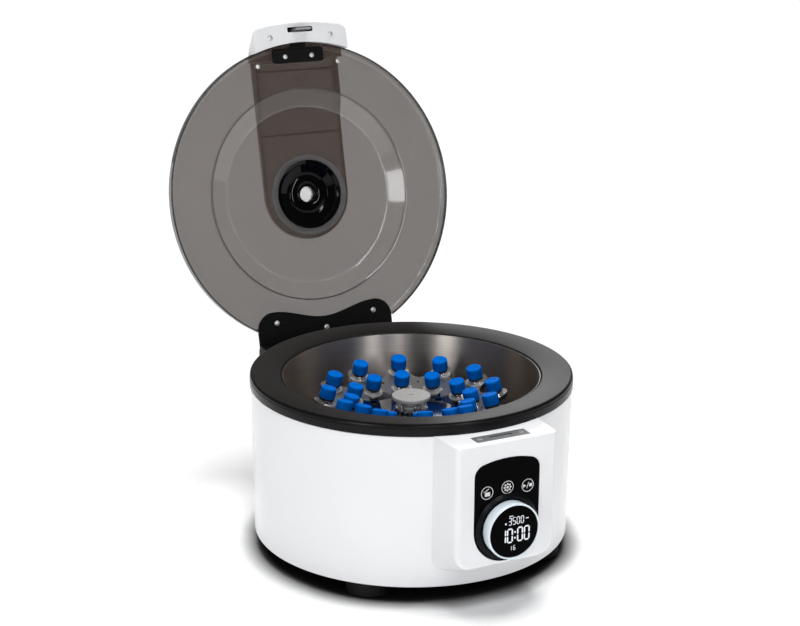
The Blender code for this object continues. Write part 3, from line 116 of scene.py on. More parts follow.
VALLEY_RADIUS = 0.0800
HOLE_SPAN = (0.120, 0.165)
PIN_HOLES = ((0.0730, 0.0014), (0.0800, 0.0011))
DRAIN_HOLES = (0.0480, 0.0034)
WEB_START = 0.0500
WEB_TIP_RADIUS = 0.0535
WEB_NOTCH = (0.13, 0.0690)
NUT_RADIUS = 0.020
NUT_Z = HUB_TOP + TOUCH
NUT_TOP = NUT_Z + 0.0127
NUT_DISC_HEIGHT = 0.004
NUT_NECK_RADIUS = 0.0075
NUT_FOOT_RADIUS = 0.0112
NUT_GROOVES = (0.0172, 0.0138, 0.0104)
POST_CIRCLE_RADIUS = 0.0148
PANEL_WIDTH = 0.070
PANEL_FACE = POD_FRONT + 0.0008
PANEL_BACK = PANEL_FACE - 0.0028
PANEL_LEDGE = 0.0035
PANEL_CORNER_RADIUS = 0.012
PANEL_CORNER_TOP = 0.1525
PANEL_ARCH_RISE = 0.003
PANEL_POSTS = [(x, z) for x in (-0.025, 0.025) for z in (0.087, 0.1355)]
KNOB_HEIGHT = 0.0865
KNOB_RADIUS = 0.0269
KNOB_FACE = POD_FRONT + 0.0151
KNOB_BACK = PANEL_FACE + 0.0018
KNOB_RIM = 0.0017
KNOB_FRONT_RADIUS = KNOB_RADIUS + 0.0009
KNOB_STEM_RADIUS = 0.0125
LENS_RADIUS = KNOB_FRONT_RADIUS - KNOB_RIM - TOUCH
LENS_FACE = KNOB_FACE - 0.0004
LENS_BACK = LENS_FACE - 0.005
BOARD_FACE = PANEL_BACK - 0.0078
BEZEL_INNER = KNOB_RADIUS + 0.0013
BEZEL_OUTER = BEZEL_INNER + 0.0053
BEZEL_HEIGHT = 0.002
KEY_RADIUS = 0.0067
KEY_STEM_RADIUS = 0.002
KEY_THICKNESS = 0.0024
KEYS = {
    "key_lid": (-0.022, 0.1242, "lid_key"), "key_settings": (0, 0.1261, "settings_key"),
    "key_start": (0.022, 0.1242, "start_key"),
}
HOOK_LINE = 0.1815
STRIKE_WIDTH = 0.057
STRIKE_DEPTH = 0.014
STRIKE_THICKNESS = 0.0015
STRIKE_TOP = POD_TOP + 0.0003
STRIKE_SLOT = (0.024, 0.005)
SLOT_CORNER = 0.0012
REAR_BOSS_WIDTH = 0.084
REAR_BOSS = (0.026, 0.070)
REAR_BOSS_FACE = 0.1655
REAR_BOSS_DEPTH = 0.010
REAR_MIDDLE = 0.048
INLET_X = -0.018
INLET_FLANGE = (0.031, 0.024, 0.002)
INLET_BODY = (0.0275, 0.020, 0.022)
INLET_WALL = 0.0016
INLET_CUT_CORNER = 0.0045
INLET_PINS = ((-0.007, -0.002), (0.007, -0.002), (0, 0.002))
SWITCH_X = 0.022
SWITCH_WIDTH = 0.013
SWITCH_HEIGHT = 0.019
SWITCH_DEPTH = 0.007
SWITCH_RIDGE = 0.0012
SWITCH_ROOM = 0.0016
SWITCH_TILT = math.radians(7)
LID_RADIUS = 0.1674
LID_LIP = 0.0018
LID_LIP_DROP = 0.007
LID_Z = COLLAR_TOP + 0.0041
LID_TOP = LID_Z + 0.004
STEP_OUTER = 0.118
STEP_INNER = 0.098
STEP_RISE = 0.008
STEP_ROUND = 0.010
BEND_HALF = 0.0007
LID_OPEN_ANGLE = math.radians(103.3)
PIVOT_Y = 0.172
PIVOT_Z = COLLAR_Z - 0.0155
SPINE_HALF = 0.050
SPINE_TOP = LID_TOP + 0.017
SPINE_WALL = 0.0025
SPINE_END = 0.150
SPINE_INSIDE = SPINE_TOP - SPINE_WALL - TOUCH
RIB_HALF = 0.0008
PORT_FLANGE = 0.045
PORT_BODY = 0.0405
PORT_MOUTH = 0.038
PORT_FLOOR = 0.025
PORT_DEPTH = 0.007
SIGHT_RADIUS = 0.0085
SIGHT_WINDOW = 0.0015
HANDLE_HALF = 0.056
HANDLE_Z = POD_TOP + 0.0018
HANDLE_REACH = POD_FRONT - 0.006
HANDLE_BOW = 0.0058
HANDLE_LIP = 0.003
HANDLE_CORNER = 0.008
HANDLE_EDGE = 0.014
HANDLE_CURVE = 1.5
HANDLE_SLOT = (0.030, 0.0055)
HOOK_PLATE_HALF = 0.0305
HOOK_PLATE = (0.1465, 0.1619)
HOOK_THICKNESS = 0.0027
HOOK_BEND = HANDLE_Z + 0.0071
HOOK_BLACK_REACH = 0.176
TONGUE_HALF = 0.011
TAB_HALF = 0.009
TAB_THICKNESS = 0.0022
TAB_FOOT = POD_CEILING - TOUCH - 0.0024 - 0.0004 - 0.0024
SADDLE_HALF = 0.082
SADDLE_THICKNESS = 0.0027
SADDLE_LOBE = 0.020
SADDLE_LOBE_Y = 0.1255
SADDLE_DIP = 0.0115
BARREL_RADIUS = 0.007
PIN_RADIUS = 0.003
HINGE_HALF = 0.0893
HINGE_BACK = PIVOT_Y + 0.018
HINGE_TOP = PIVOT_Z + 0.0115
HINGE_LOW = HINGE_TOP - 0.050
HINGE_CHAMFER = 0.008
HINGE_FLOOR = PIVOT_Z - 0.0125
HINGE_CHEEK = 0.0035

# Facets of the round surfaces
FINE = 256
TURNED = 192
ROUND = 96
BOLD = 64
SMALL = 48
TINY = 24

# Edge wear with a painted edge highlight: the width of the paler edge, and how hard the turn and the patches must be
PLASTIC_EDGE = 0.0005
METAL_EDGE = 0.0004
EDGE_TURN = (0.985, 0.80)
PATCH_SCALE = 260.0
PATCH_LIMITS = (0.35, 0.60)
BRIGHTEST_EDGE = 0.9
BUMP_DEPTH = 0.0001

# The camera, fitted to the photograph
IMAGE_WIDTH = 800
FOCAL_PIXELS = 1769.535
SENSOR_WIDTH = 36.0
CAMERA_PLACE = (-0.79481, -1.56312, 0.76254)
CAMERA_AXES = ((0.88994, -0.45604, 0.00479), (0.12808, 0.25999, 0.95708), (-0.43772, -0.85114, 0.28978))
CAMERA_RANGE = (0.05, 50)

# The stage: a pale floor with a painted contact shadow, its colour darkened by ambient occlusion near what stands on
# it, and a dim even glow
FLOOR_HALF = 12.0
FLOOR_PAINT = ((0.985,) * 3, (0.995,) * 3)
PAINTED_SHADOW_COLOUR = (0.01, 0.01, 0.01, 1)
PAINTED_SHADOW_REACH = 0.04
PAINTED_SHADOW_LIMITS = (0.40, 0.82)
PAINTED_SHADOW_POWER = 1.5
WORLD_DIFFUSE = 0.05
WORLD_RAYS = (("Is Glossy Ray", 0.14), ("Is Transmission Ray", 1.0), ("Is Camera Ray", 1.0))
SUN_STRENGTH = 3.3
SUN_ANGLE = math.radians(34)
SUN_WAY = (-0.05, -0.10, -1)

# Where the drum's axis stands, and where the open lid's pieces go when they are drawn closed
nut_low, nut_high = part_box("rotor_nut")
AXIS_Y = (nut_low.y + nut_high.y) / 2
DRUM = Matrix.Translation((0, AXIS_Y, 0))
PIVOT = Matrix.Translation((0, PIVOT_Y, PIVOT_Z))
LID = DRUM @ PIVOT @ Matrix.Rotation(-LID_OPEN_ANGLE, 4, "X") @ PIVOT.inverted()
FACING_FRONT = Matrix.Rotation(math.pi / 2, 4, "X")
FACING_RIGHT = Matrix(((0, 0, 1, 0), (1, 0, 0, 0), (0, 1, 0, 0), (0, 0, 0, 1)))
FACING_REAR = Matrix.Rotation(math.pi, 4, "Z") @ FACING_FRONT
FACING_DOWN = Matrix.Rotation(math.pi, 4, "X")
FRONT = DRUM @ FACING_FRONT

# Soft lamps: name, target, azimuth, elevation, distance, size, watts, seen in reflections, gives light
DRUM_MIDDLE = (0.0, AXIS_Y, 0.15)
SOFTBOXES = (
    ("key_left", DRUM_MIDDLE, -150, 13, 2.2, (0.62, 0.9), 13.0, True, False),
    ("fill_left", DRUM_MIDDLE, -150, 14, 2.2, (0.8, 0.9), 6.5, False, True),
    ("front_high", DRUM_MIDDLE, -112, 30, 2.2, (0.9, 0.9), 9.5, False, True),
    ("handle_fill", (0.0, 0.20, 0.48), -100, 20, 1.2, (0.3, 0.3), 1.1, False, True),
    ("rear_right", DRUM_MIDDLE, 62, 17, 2.4, (1.0, 0.8), 4.6, True, False),
    ("step_patch", (0.107, 0.206, 0.330), -106, 12, 2.2, (0.28, 0.46), 4.4, True, False),
    ("step_arcs", (0.100, 0.200, 0.300), -83, 24, 2.2, (0.14, 1.25), 11.0, True, False),
)


def at(x, y, z):
    return Matrix.Translation((x, y, z))


def span(half, middle=0.0):
    return middle - half, middle + half


# Outlines

def arc(centre, radius, start, end, steps):
    turns = [math.radians(start + (end - start) * step / steps) for step in range(steps + 1)]
    return [(centre[0] + radius * math.cos(t), centre[1] + radius * math.sin(t)) for t in turns]


def sides(line):
    """Each point of a closed line with the next one."""
    return zip(line, line[1:] + line[:1])


def rounded(points, radii, steps=6):
    """A closed outline with some corners rounded. radii gives a corner's radius by its number."""
    made = []
    for number, point in enumerate(points):
        radius = radii.get(number, 0) if isinstance(radii, dict) else radii
        if not radius:
            made.append(tuple(point))
            continue
        here = Vector(point)
        before = (Vector(points[number - 1]) - here).normalized()
        after = (Vector(points[(number + 1) % len(points)]) - here).normalized()
        angle = before.angle(after)
        reach = radius / math.tan(angle / 2)
        centre = here + (before + after).normalized() * (radius / math.sin(angle / 2))
        first = here + before * reach - centre
        turn = first.angle_signed(here + after * reach - centre)
        for step in range(steps + 1):
            arm = first.copy()
            arm.rotate(Matrix.Rotation(-turn * (step / steps), 2))
            made.append(tuple(centre + arm))
    return made


def inset(outline, depth):
    """The outline moved inwards by depth all round."""
    turn = 1 if sum(a[0] * b[1] - b[0] * a[1] for a, b in sides(outline)) > 0 else -1
    made = []
    for number, point in enumerate(outline):
        here = Vector(point)
        before = (here - Vector(outline[number - 1])).normalized()
        after = (Vector(outline[(number + 1) % len(outline)]) - here).normalized()
        first = Vector((-before.y, before.x)) * turn
        second = Vector((-after.y, after.x)) * turn
        made.append(tuple(here + (first + second) * (depth / (1 + first.dot(second)))))
    return made


def rectangle(width, height, x=0.0, y=0.0):
    (left, right), (low, high) = span(width / 2, x), span(height / 2, y)
    return [(left, low), (right, low), (right, high), (left, high)]


def circle(radius, steps=SMALL):
    return arc((0.0, 0.0), radius, 0, 360, steps)[:-1]


# Solids

def loft(rings):
    """A closed solid through rings of equally many points."""
    made = bmesh.new()
    loops = [[made.verts.new(point) for point in ring] for ring in rings]
    for first, second in zip(loops, loops[1:]):
        for here in range(len(first)):
            there = (here + 1) % len(first)
            made.faces.new((first[here], first[there], second[there], second[here]))
    made.faces.new(list(reversed(loops[0])))
    made.faces.new(loops[-1])
    return made


def slab(outline, low, high, top_edge=0.0, low_edge=0.0, steps=4):
    """The outline raised from low to high, with its upper and lower edges rounded."""
    levels = []
    for step in range(steps + 1 if low_edge else 1):
        turn = math.pi / 2 * step / steps
        levels.append((low_edge * (1 - math.sin(turn)), low + low_edge * (1 - math.cos(turn))))
    for step in range(steps + 1 if top_edge else 1):
        turn = math.pi / 2 * (1 - step / steps)
        levels.append((top_edge * (1 - math.sin(turn)), high - top_edge * (1 - math.cos(turn))))
    return loft([[(x, y, z) for x, y in (inset(outline, depth) if depth else outline)] for depth, z in levels])


def lathe(profile, facets=FINE, mats=None):
    """Turn a closed (radius, height) profile round Z. mats gives each band's material."""
    made = bmesh.new()
    rings = []
    for radius, height in profile:
        turns = [2 * math.pi * step / facets for step in range(facets if radius > 1e-9 else 1)]
        rings.append([made.verts.new((radius * math.cos(t), radius * math.sin(t), height)) for t in turns])
    for band, (first, second) in enumerate(sides(rings)):
        if len(first) == len(second) == 1:
            continue
        for here in range(facets):
            there = (here + 1) % facets
            corners = [first[here % len(first)], first[there % len(first)]]
            corners += [second[there % len(second)], second[here % len(second)]]
            face = made.faces.new(list(dict.fromkeys(corners)))
            face.material_index = mats[band] if mats else 0
    bmesh.ops.recalc_face_normals(made, faces=made.faces)
    return made


def cylinder(radius, low, high, facets=ROUND, edge=0.0):
    profile = [(0, low), (radius, low), (radius, high), (0, high)]
    return lathe(rounded(profile, {1: edge, 2: edge}, 3) if edge else profile, facets)


def box(x, y, z, edge=0.0):
    outline = [(x[0], y[0]), (x[1], y[0]), (x[1], y[1]), (x[0], y[1])]
    return slab(rounded(outline, edge, 4) if edge else outline, *z, edge, edge, 3)


def placed(made, matrix):
    bmesh.ops.transform(made, matrix=matrix, verts=made.verts)
    return made


def along_x(made, y=0.0, z=0.0):
    return placed(made, at(0, y, z) @ FACING_RIGHT)


def append(target, extra):
    """Move the contents of one bmesh into another."""
    mesh = bpy.data.meshes.new("scratch")
    extra.to_mesh(mesh)
    extra.free()
    target.from_mesh(mesh)
    bpy.data.meshes.remove(mesh)
    return target


def painted_shade_on(made, index):
    """The same solid in another of its mesh's materials, here the black that paints shade on the faces it cuts."""
    for face in made.faces:
        face.material_index = index
    return made


def gathered(parts):
    whole = bmesh.new()
    for part in parts:
        append(whole, part)
    return whole


def mesh_of(name, made, mats=()):
    bmesh.ops.triangulate(made, faces=[face for face in made.faces if len(face.verts) > 4])
    bmesh.ops.recalc_face_normals(made, faces=made.faces)
    mesh = bpy.data.meshes.new(name)
    made.to_mesh(mesh)
    made.free()
    for material in mats:
        mesh.materials.append(material)
    return mesh


def boolean(mesh, made, operation):
    """Join or cut a mesh with another solid, once and for all."""
    target = bpy.data.objects.new("target", mesh)
    tool = bpy.data.objects.new("tool", mesh_of("tool", made, mesh.materials))
    for thing in (target, tool):
        bpy.context.scene.collection.objects.link(thing)
    modifier = target.modifiers.new("boolean", "BOOLEAN")
    modifier.operation = operation
    modifier.object = tool
    bpy.context.view_layer.update()
    graph = bpy.context.evaluated_depsgraph_get()
    result = bpy.data.meshes.new_from_object(target.evaluated_get(graph), depsgraph=graph)
    name = mesh.name
    bpy.data.objects.remove(target)
    bpy.data.objects.remove(tool)
    bpy.data.meshes.remove(mesh)
    result.name = name
    return result


def carved(mesh, joins=(), cuts=()):
    """The mesh with solids joined to it and then others cut from it."""
    for extra in joins:
        mesh = boolean(mesh, extra, "UNION")
    for extra in cuts:
        mesh = boolean(mesh, extra, "DIFFERENCE")
    return mesh


def piece(name, mesh, matrix, body, slot=None, nodes=(), sharp=32, weighted=False):
    """Show a mesh as a piece of the machine, riding on one of its bodies."""
    mesh.shade_smooth()
    mesh.set_sharp_from_angle(angle=math.radians(sharp))
    thing = bpy.data.objects.new(name, mesh)
    bpy.context.scene.collection.objects.link(thing)
    thing.matrix_world = matrix
    if weighted:
        modifier = thing.modifiers.new("normals", "WEIGHTED_NORMAL")
        modifier.keep_sharp = True
    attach(thing, body)
    if nodes:
        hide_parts(*nodes)


def show(name, made, mats, matrix, body, slot=None, nodes=(), joins=(), cuts=(), **options):
    """Build a solid's mesh and show it as a piece of the same name."""
    piece(name, carved(mesh_of(name, made, mats), joins, cuts), matrix, body, slot, nodes, **options)


# Materials

class Look:
    """One Principled material whose nodes are added by name."""

    def __init__(self, name, **sockets):
        self.material = bpy.data.materials.new(name)
        self.material.use_nodes = True
        self.tree = self.material.node_tree
        self.shader = self.tree.nodes["Principled BSDF"]
        self.fill(self.shader, sockets)

    def put(self, target, value):
        """Link an input to another node's output, or set it."""
        if isinstance(value, bpy.types.NodeSocket):
            self.tree.links.new(value, target)
        else:
            target.default_value = value

    def fill(self, node, sockets):
        for socket, value in sockets.items():
            self.put(node.inputs[socket.replace("_", " ")], value)
        return node

    def node(self, kind, **sockets):
        return self.fill(self.tree.nodes.new(kind), sockets)

    def math(self, operation, *values, kind="ShaderNodeMath"):
        made = self.tree.nodes.new(kind)
        made.operation = operation
        for socket, value in zip(made.inputs, values):
            self.put(socket, value)
        return made.outputs["Value"]

    def ranged(self, value, **limits):
        return self.node("ShaderNodeMapRange", Value=value, **limits).outputs["Result"]

    def mixed(self, share, first, second):
        made = self.tree.nodes.new("ShaderNodeMix")
        made.data_type = "RGBA"
        return self.fill(made, {"Factor": share, "A": first, "B": second}).outputs["Result"]

    def shown(self, socket):
        """What the shader's input is linked to so far."""
        return self.shader.inputs[socket].links[0].from_socket

    def place(self, scale=(1, 1, 1)):
        """Object coordinates, stretched by scale."""
        where = self.node("ShaderNodeTexCoord").outputs["Object"]
        return self.node("ShaderNodeMapping", Vector=where, Scale=scale).outputs["Vector"]

    def turned(self, across, along):
        """Coordinates across the turning lines of a piece turned round Z, and slowly along them."""
        where = self.node("ShaderNodeTexCoord").outputs["Object"]
        parts = self.node("ShaderNodeSeparateXYZ", Vector=where).outputs
        flat_part = self.node("ShaderNodeCombineXYZ", X=parts["X"], Y=parts["Y"]).outputs["Vector"]
        radius = self.math("MULTIPLY", self.math("LENGTH", flat_part, kind="ShaderNodeVectorMath"), across)
        height = self.math("MULTIPLY", parts["Z"], across)
        round_way = self.math("MULTIPLY", self.math("ARCTAN2", parts["Y"], parts["X"]), along)
        return self.node("ShaderNodeCombineXYZ", X=radius, Y=round_way, Z=height).outputs["Vector"]

    def noise(self, vector, scale, detail=3.0, roughness=0.55):
        sockets = {"Vector": vector, "Scale": scale, "Detail": detail, "Roughness": roughness}
        return self.node("ShaderNodeTexNoise", **sockets).outputs["Fac"]

    def colour(self, factor, first, second, low=0.3, high=0.7):
        """Base colour that runs between two shades as factor goes from low to high."""
        made = self.node("ShaderNodeValToRGB", Fac=factor)
        for element, position, shade in zip(made.color_ramp.elements, (low, high), (first, second)):
            element.position = position
            element.color = (*shade, 1)
        self.put(self.shader.inputs["Base Color"], made.outputs["Color"])

    def rough(self, factor, low, high):
        self.put(self.shader.inputs["Roughness"], self.ranged(factor, To_Min=low, To_Max=high))

    def edges(self, width):
        """How near a point is to a hard edge, from 0 to 1, broken up in patches: the mask for edge wear and a painted
        edge highlight.
        """
        bevel = self.node("ShaderNodeBevel", Radius=width)
        bevel.samples = 4
        normals = (bevel.outputs["Normal"], self.node("ShaderNodeNewGeometry").outputs["Normal"])
        turn = self.math("DOT_PRODUCT", *normals, kind="ShaderNodeVectorMath")
        near = self.ranged(turn, From_Min=EDGE_TURN[0], From_Max=EDGE_TURN[1])
        patches = self.noise(self.place(), PATCH_SCALE, 2.0)
        broken = self.ranged(patches, From_Min=PATCH_LIMITS[0], From_Max=PATCH_LIMITS[1])
        return self.math("MULTIPLY", near, broken)

    def wear_and_edge_highlight(self, share, tint, rough):
        """Move colour and gloss towards those of edge wear where share is high; the paler colour is partly a painted
        edge highlight.
        """
        paint = self.mixed(share, self.shown("Base Color"), (*tint, 1))
        self.put(self.shader.inputs["Base Color"], paint)
        gloss = self.ranged(share, To_Min=self.shown("Roughness"), To_Max=rough)
        self.put(self.shader.inputs["Roughness"], gloss)

    def bumped(self, factor, strength, distance):
        """The finished material, with a bump."""
        made = self.node("ShaderNodeBump", Height=factor, Strength=strength, Distance=distance)
        self.put(self.shader.inputs["Normal"], made.outputs["Normal"])
        return self.material


def plastic(name, first, second, rough, grain, strength, specular=0.5, depth=BUMP_DEPTH, wide=9.0, wear_and_edge_highlight=0.5,
            **sockets):
    """Moulded plastic: a faint wide mottle, a fine grain, and edges smoother and a little paler, partly from wear and
    partly as a painted highlight.
    """
    look = Look(name, Specular_IOR_Level=specular, **sockets)
    where = look.place()
    broad = look.noise(where, wide)
    fine = look.noise(where, grain, 4.0)
    look.colour(broad, first, second)
    look.rough(broad, *rough)
    # Paler edge colour: partly wear, partly a painted edge highlight
    rubbed_and_highlit = [value + 0.02 * wear_and_edge_highlight + 0.3 * wear_and_edge_highlight * value for value in second]
    look.wear_and_edge_highlight(look.edges(PLASTIC_EDGE), [min(value, BRIGHTEST_EDGE) for value in rubbed_and_highlit], rough[0] * 0.7)
    return look.bumped(fine, strength, depth)


def metal(name, first, second, rough, across, along, strength, turned=True, metallic=1.0, **sockets):
    """Metal with fine tool lines, which run round Z or, not turned, along X, and edges made bright, partly by wear
    and partly as a painted highlight.
    """
    look = Look(name, Metallic=metallic, **sockets)
    where = look.turned(across, along) if turned else look.place((along, across, across))
    lines = look.noise(where, 1.0, 5.0, 0.7)
    look.colour(lines, first, second, 0.25, 0.75)
    look.rough(lines, *rough)
    # Brighter edge colour: partly wear, partly a painted edge highlight
    rubbed_and_highlit = [min(1.3 * value + 0.05, BRIGHTEST_EDGE) for value in second]
    look.wear_and_edge_highlight(look.edges(METAL_EDGE), rubbed_and_highlit, rough[0] * 0.8)
    if "Anisotropic" in sockets:
        tangent = look.node("ShaderNodeTangent")
        tangent.direction_type = "RADIAL"
        tangent.axis = "Z"
        look.put(look.shader.inputs["Tangent"], tangent.outputs["Tangent"])
    return look.bumped(lines, strength, BUMP_DEPTH)


def smoke(name, first, second, alpha, rough=(0.05, 0.10)):
    """Smoked clear plastic, seen through by a plain Alpha."""
    look = Look(name, Alpha=alpha, Specular_IOR_Level=0.6)
    where = look.place()
    broad = look.noise(where, 6.0)
    look.colour(broad, first, second)
    look.rough(broad, *rough)
    return look.bumped(look.noise(where, 40.0), 0.02, 0.0005)


def light(name, strength, tint):
    """Lit marks of a display."""
    look = Look(name, Roughness=0.4, Emission_Strength=strength, Emission_Color=tint)
    look.colour(look.noise(look.place(), 300.0), (0.05, 0.05, 0.05), (0.07, 0.07, 0.07))
    return look.material


# Name, two shades, the roughness between them, the grain's scale and strength, and the specular level
WHITE = plastic("white_gloss", (0.80, 0.81, 0.83), (0.83, 0.84, 0.86), (0.20, 0.27), 900.0, 0.05,
                depth=0.0002, wear_and_edge_highlight=0.1, Coat_Weight=0.15, Coat_Roughness=0.08)
COLLAR = plastic("collar_satin", (0.005, 0.0045, 0.0045), (0.007, 0.0065, 0.006), (0.34, 0.40), 1800.0, 0.12,
                 0.38)
COLLAR_EDGE = plastic("collar_edge", (0.004, 0.004, 0.005), (0.006, 0.006, 0.007), (0.22, 0.28), 1500.0, 0.05,
                      0.12)
BLACK = plastic("black_satin", (0.002, 0.002, 0.0024), (0.0035, 0.0035, 0.004), (0.42, 0.52), 1600.0, 0.15, 0.08)
GLOSS = plastic("black_gloss", (0.0006, 0.0006, 0.0010), (0.0010, 0.0010, 0.0015), (0.05, 0.09), 300.0, 0.01,
                0.12)
PANEL = plastic("panel_gloss", (0.0008, 0.0008, 0.0011), (0.0014, 0.0014, 0.0018), (0.06, 0.10), 300.0, 0.01,
                0.02)
BEZEL = plastic("bezel_blue_black", (0.003, 0.0038, 0.0055), (0.0045, 0.0055, 0.0075), (0.24, 0.30), 900.0, 0.03,
                0.08)
LENS = plastic("display_glass", (0.0006, 0.0006, 0.0008), (0.001, 0.001, 0.0012), (0.04, 0.07), 200.0, 0.004,
               0.02)
RUBBER = plastic("dark_rubber", (0.004,) * 3, (0.007,) * 3, (0.66, 0.78), 1400.0, 0.3, 0.2, depth=0.0002)
SEAL = plastic("seal_rubber", (0.005,) * 3, (0.008,) * 3, (0.5, 0.6), 1400.0, 0.2)
CAP = plastic("cap_blue", (0.0, 0.108, 0.47), (0.0, 0.128, 0.54), (0.40, 0.50), 1300.0, 0.14, 0.02,
              wide=160.0, wear_and_edge_highlight=0.1)
KNOB = plastic("knob_silver", (0.74, 0.83, 0.90), (0.78, 0.86, 0.92), (0.26, 0.34), 1500.0, 0.05, wear_and_edge_highlight=0.1)
GREEN = plastic("board_green", (0.015, 0.13, 0.05), (0.025, 0.18, 0.08), (0.4, 0.5), 900.0, 0.1, wide=60.0)
INK = plastic("icon_white", (0.66, 0.67, 0.68), (0.72, 0.73, 0.74), (0.4, 0.5), 900.0, 0.05)

# Name, two shades, the roughness between them, and the tool lines' scale across and along, and strength
STEEL = metal("bowl_steel", (0.44, 0.40, 0.37), (0.60, 0.55, 0.51), (0.36, 0.46), 1500.0, 3.0, 0.06,
              Anisotropic=0.9, Anisotropic_Rotation=0.25)
BRIGHT = metal("bright_steel", (0.52, 0.52, 0.53), (0.68, 0.68, 0.69), (0.20, 0.32), 1800.0, 4.0, 0.08)
STRIKE = metal("strike_brushed", (0.24, 0.24, 0.25), (0.37, 0.37, 0.38), (0.30, 0.42), 2600.0, 60.0, 0.10,
               turned=False, metallic=0.55)
ALUMINIUM = metal("rotor_aluminium", (0.40, 0.39, 0.38), (0.52, 0.51, 0.50), (0.24, 0.32), 1400.0, 3.0, 0.05,
                  metallic=0.85)
MIRROR = metal("rotor_polished", (0.28, 0.30, 0.33), (0.36, 0.38, 0.41), (0.10, 0.16), 1400.0, 3.0, 0.02)
NUT = metal("nut_aluminium", (0.50, 0.495, 0.49), (0.62, 0.615, 0.61), (0.45, 0.55), 2400.0, 2.0, 0.12,
            metallic=0.5)
CHROME = metal("sleeve_chrome", (0.66, 0.66, 0.67), (0.80, 0.80, 0.81), (0.10, 0.18), 1200.0, 3.0, 0.03)
ZINC = metal("motor_zinc", (0.30, 0.31, 0.33), (0.38, 0.39, 0.41), (0.40, 0.55), 900.0, 3.0, 0.1)
NICKEL = metal("pin_nickel", (0.58, 0.54, 0.46), (0.70, 0.66, 0.58), (0.25, 0.35), 1500.0, 30.0, 0.05,
               turned=False)
SCREW = metal("screw_zinc", (0.48,) * 3, (0.64,) * 3, (0.28, 0.38), 2000.0, 8.0, 0.06, metallic=0.6)
MARK = light("display_light", 0.85, (0.90, 0.93, 1.0, 1))

# Name, two shades, alpha and, where it isn't the usual one, the roughness between the shades
LID_SMOKE = smoke("lid_smoke", (0.074, 0.046, 0.032), (0.086, 0.056, 0.040), 0.62)
# Darker smoke on the rim and lip: painted edge shade for the dark line at the lid's edge
RIM_SMOKE_PAINTED_SHADE = smoke("lid_rim_smoke_painted_shade", (0.012, 0.010, 0.009), (0.018, 0.014, 0.013), 0.92)
LIP_SMOKE_PAINTED_SHADE = smoke("lid_lip_smoke_painted_shade", (0.040, 0.032, 0.028), (0.050, 0.041, 0.036), 0.80)
# Painted lines on the step's bends: a dark line of painted shade at the outer bend, a pale painted highlight at the
# inner bend
BEND_PAINTED_SHADE = smoke("lid_bend_painted_shade", (0.018, 0.013, 0.011), (0.024, 0.018, 0.015), 0.80)
BEND_PAINTED_HIGHLIGHT = smoke("lid_bend_painted_highlight", (0.20, 0.185, 0.18), (0.24, 0.225, 0.215), 0.58)
SPINE_SMOKE = smoke("spine_smoke", (0.150, 0.185, 0.235), (0.165, 0.200, 0.250), 0.56)
# Darker smoke for the cover's upright walls: painted shade for the dark strips they show edge-on
SPINE_SIDE_PAINTED_SHADE = smoke("spine_side_smoke_painted_shade", (0.070, 0.078, 0.088), (0.082, 0.091, 0.102), 0.80)
# Near-black smoke for the ribs: painted shade for the dark lines they show edge-on
RIB_SMOKE_PAINTED_SHADE = smoke("spine_rib_smoke_painted_shade", (0.006,) * 3, (0.010,) * 3, 0.96, (0.2, 0.3))
CLEAR = smoke("port_clear", (0.15, 0.145, 0.145), (0.19, 0.185, 0.185), 0.50, (0.03, 0.06))
WINDOW = smoke("sight_window", (0.50, 0.47, 0.45), (0.56, 0.53, 0.51), 0.35)
TUBE = smoke("tube_clear", (0.62, 0.66, 0.70), (0.68, 0.72, 0.76), 0.55)


# Housing

def pod_ring(half, low, top, corner, depth):
    outline = arc((-half + corner, low + corner), corner, 180, 270, 16)
    outline += arc((half - corner, low + corner), corner, 270, 360, 16)
    return [(x, -depth, z) for x, z in outline + [(half, top), (-half, top)]]


def pod_solid(shrink, back, top, steps=8):
    """The pod from its rounded front to where it meets the drum, or its hollow when shrunk."""
    rings = []
    half = POD_WIDTH / 2 - shrink
    low = DRUM_Z + POD_FACE_LIFT + shrink
    for step in range(steps + 1):
        turn = math.pi / 2 * step / steps
        side = POD_EDGE_RADIUS * (1 - math.sin(turn))
        upper = POD_TOP_EDGE_RADIUS * (1 - math.sin(turn))
        depth = POD_FRONT - shrink - POD_EDGE_RADIUS * (1 - math.cos(turn))
        rings.append(pod_ring(half - side, low + side, top - upper, POD_CORNER_RADIUS - side, depth))
    rings.append(pod_ring(half + POD_FLARE, low - POD_CHIN_DROP, top, POD_CORNER_RADIUS, back))
    return loft(rings)


def panel_outline(growth, steps=24):
    """Round below the knob, straight sides, and a slightly arched top."""
    half = PANEL_WIDTH / 2
    corner = PANEL_CORNER_RADIUS
    outline = arc((0, KNOB_HEIGHT), half + growth, 180, 360, 2 * steps)
    outline += arc((half - corner, PANEL_CORNER_TOP - corner), corner + growth, 0, 76, steps)
    end, shoulder = outline[-1]
    top = PANEL_CORNER_TOP + (PANEL_ARCH_RISE + growth)
    for step in range(1, steps):
        x = end * (1 - 2 * step / steps)
        outline.append((x, shoulder + (top - shoulder) * (1 - (x / end) ** 2)))
    outline.append((-end, shoulder))
    return outline + arc((corner - half, PANEL_CORNER_TOP - corner), corner + growth, 104, 180, steps)


def front_slab(outline, back, front):
    return placed(slab(outline, back, front), FACING_FRONT)


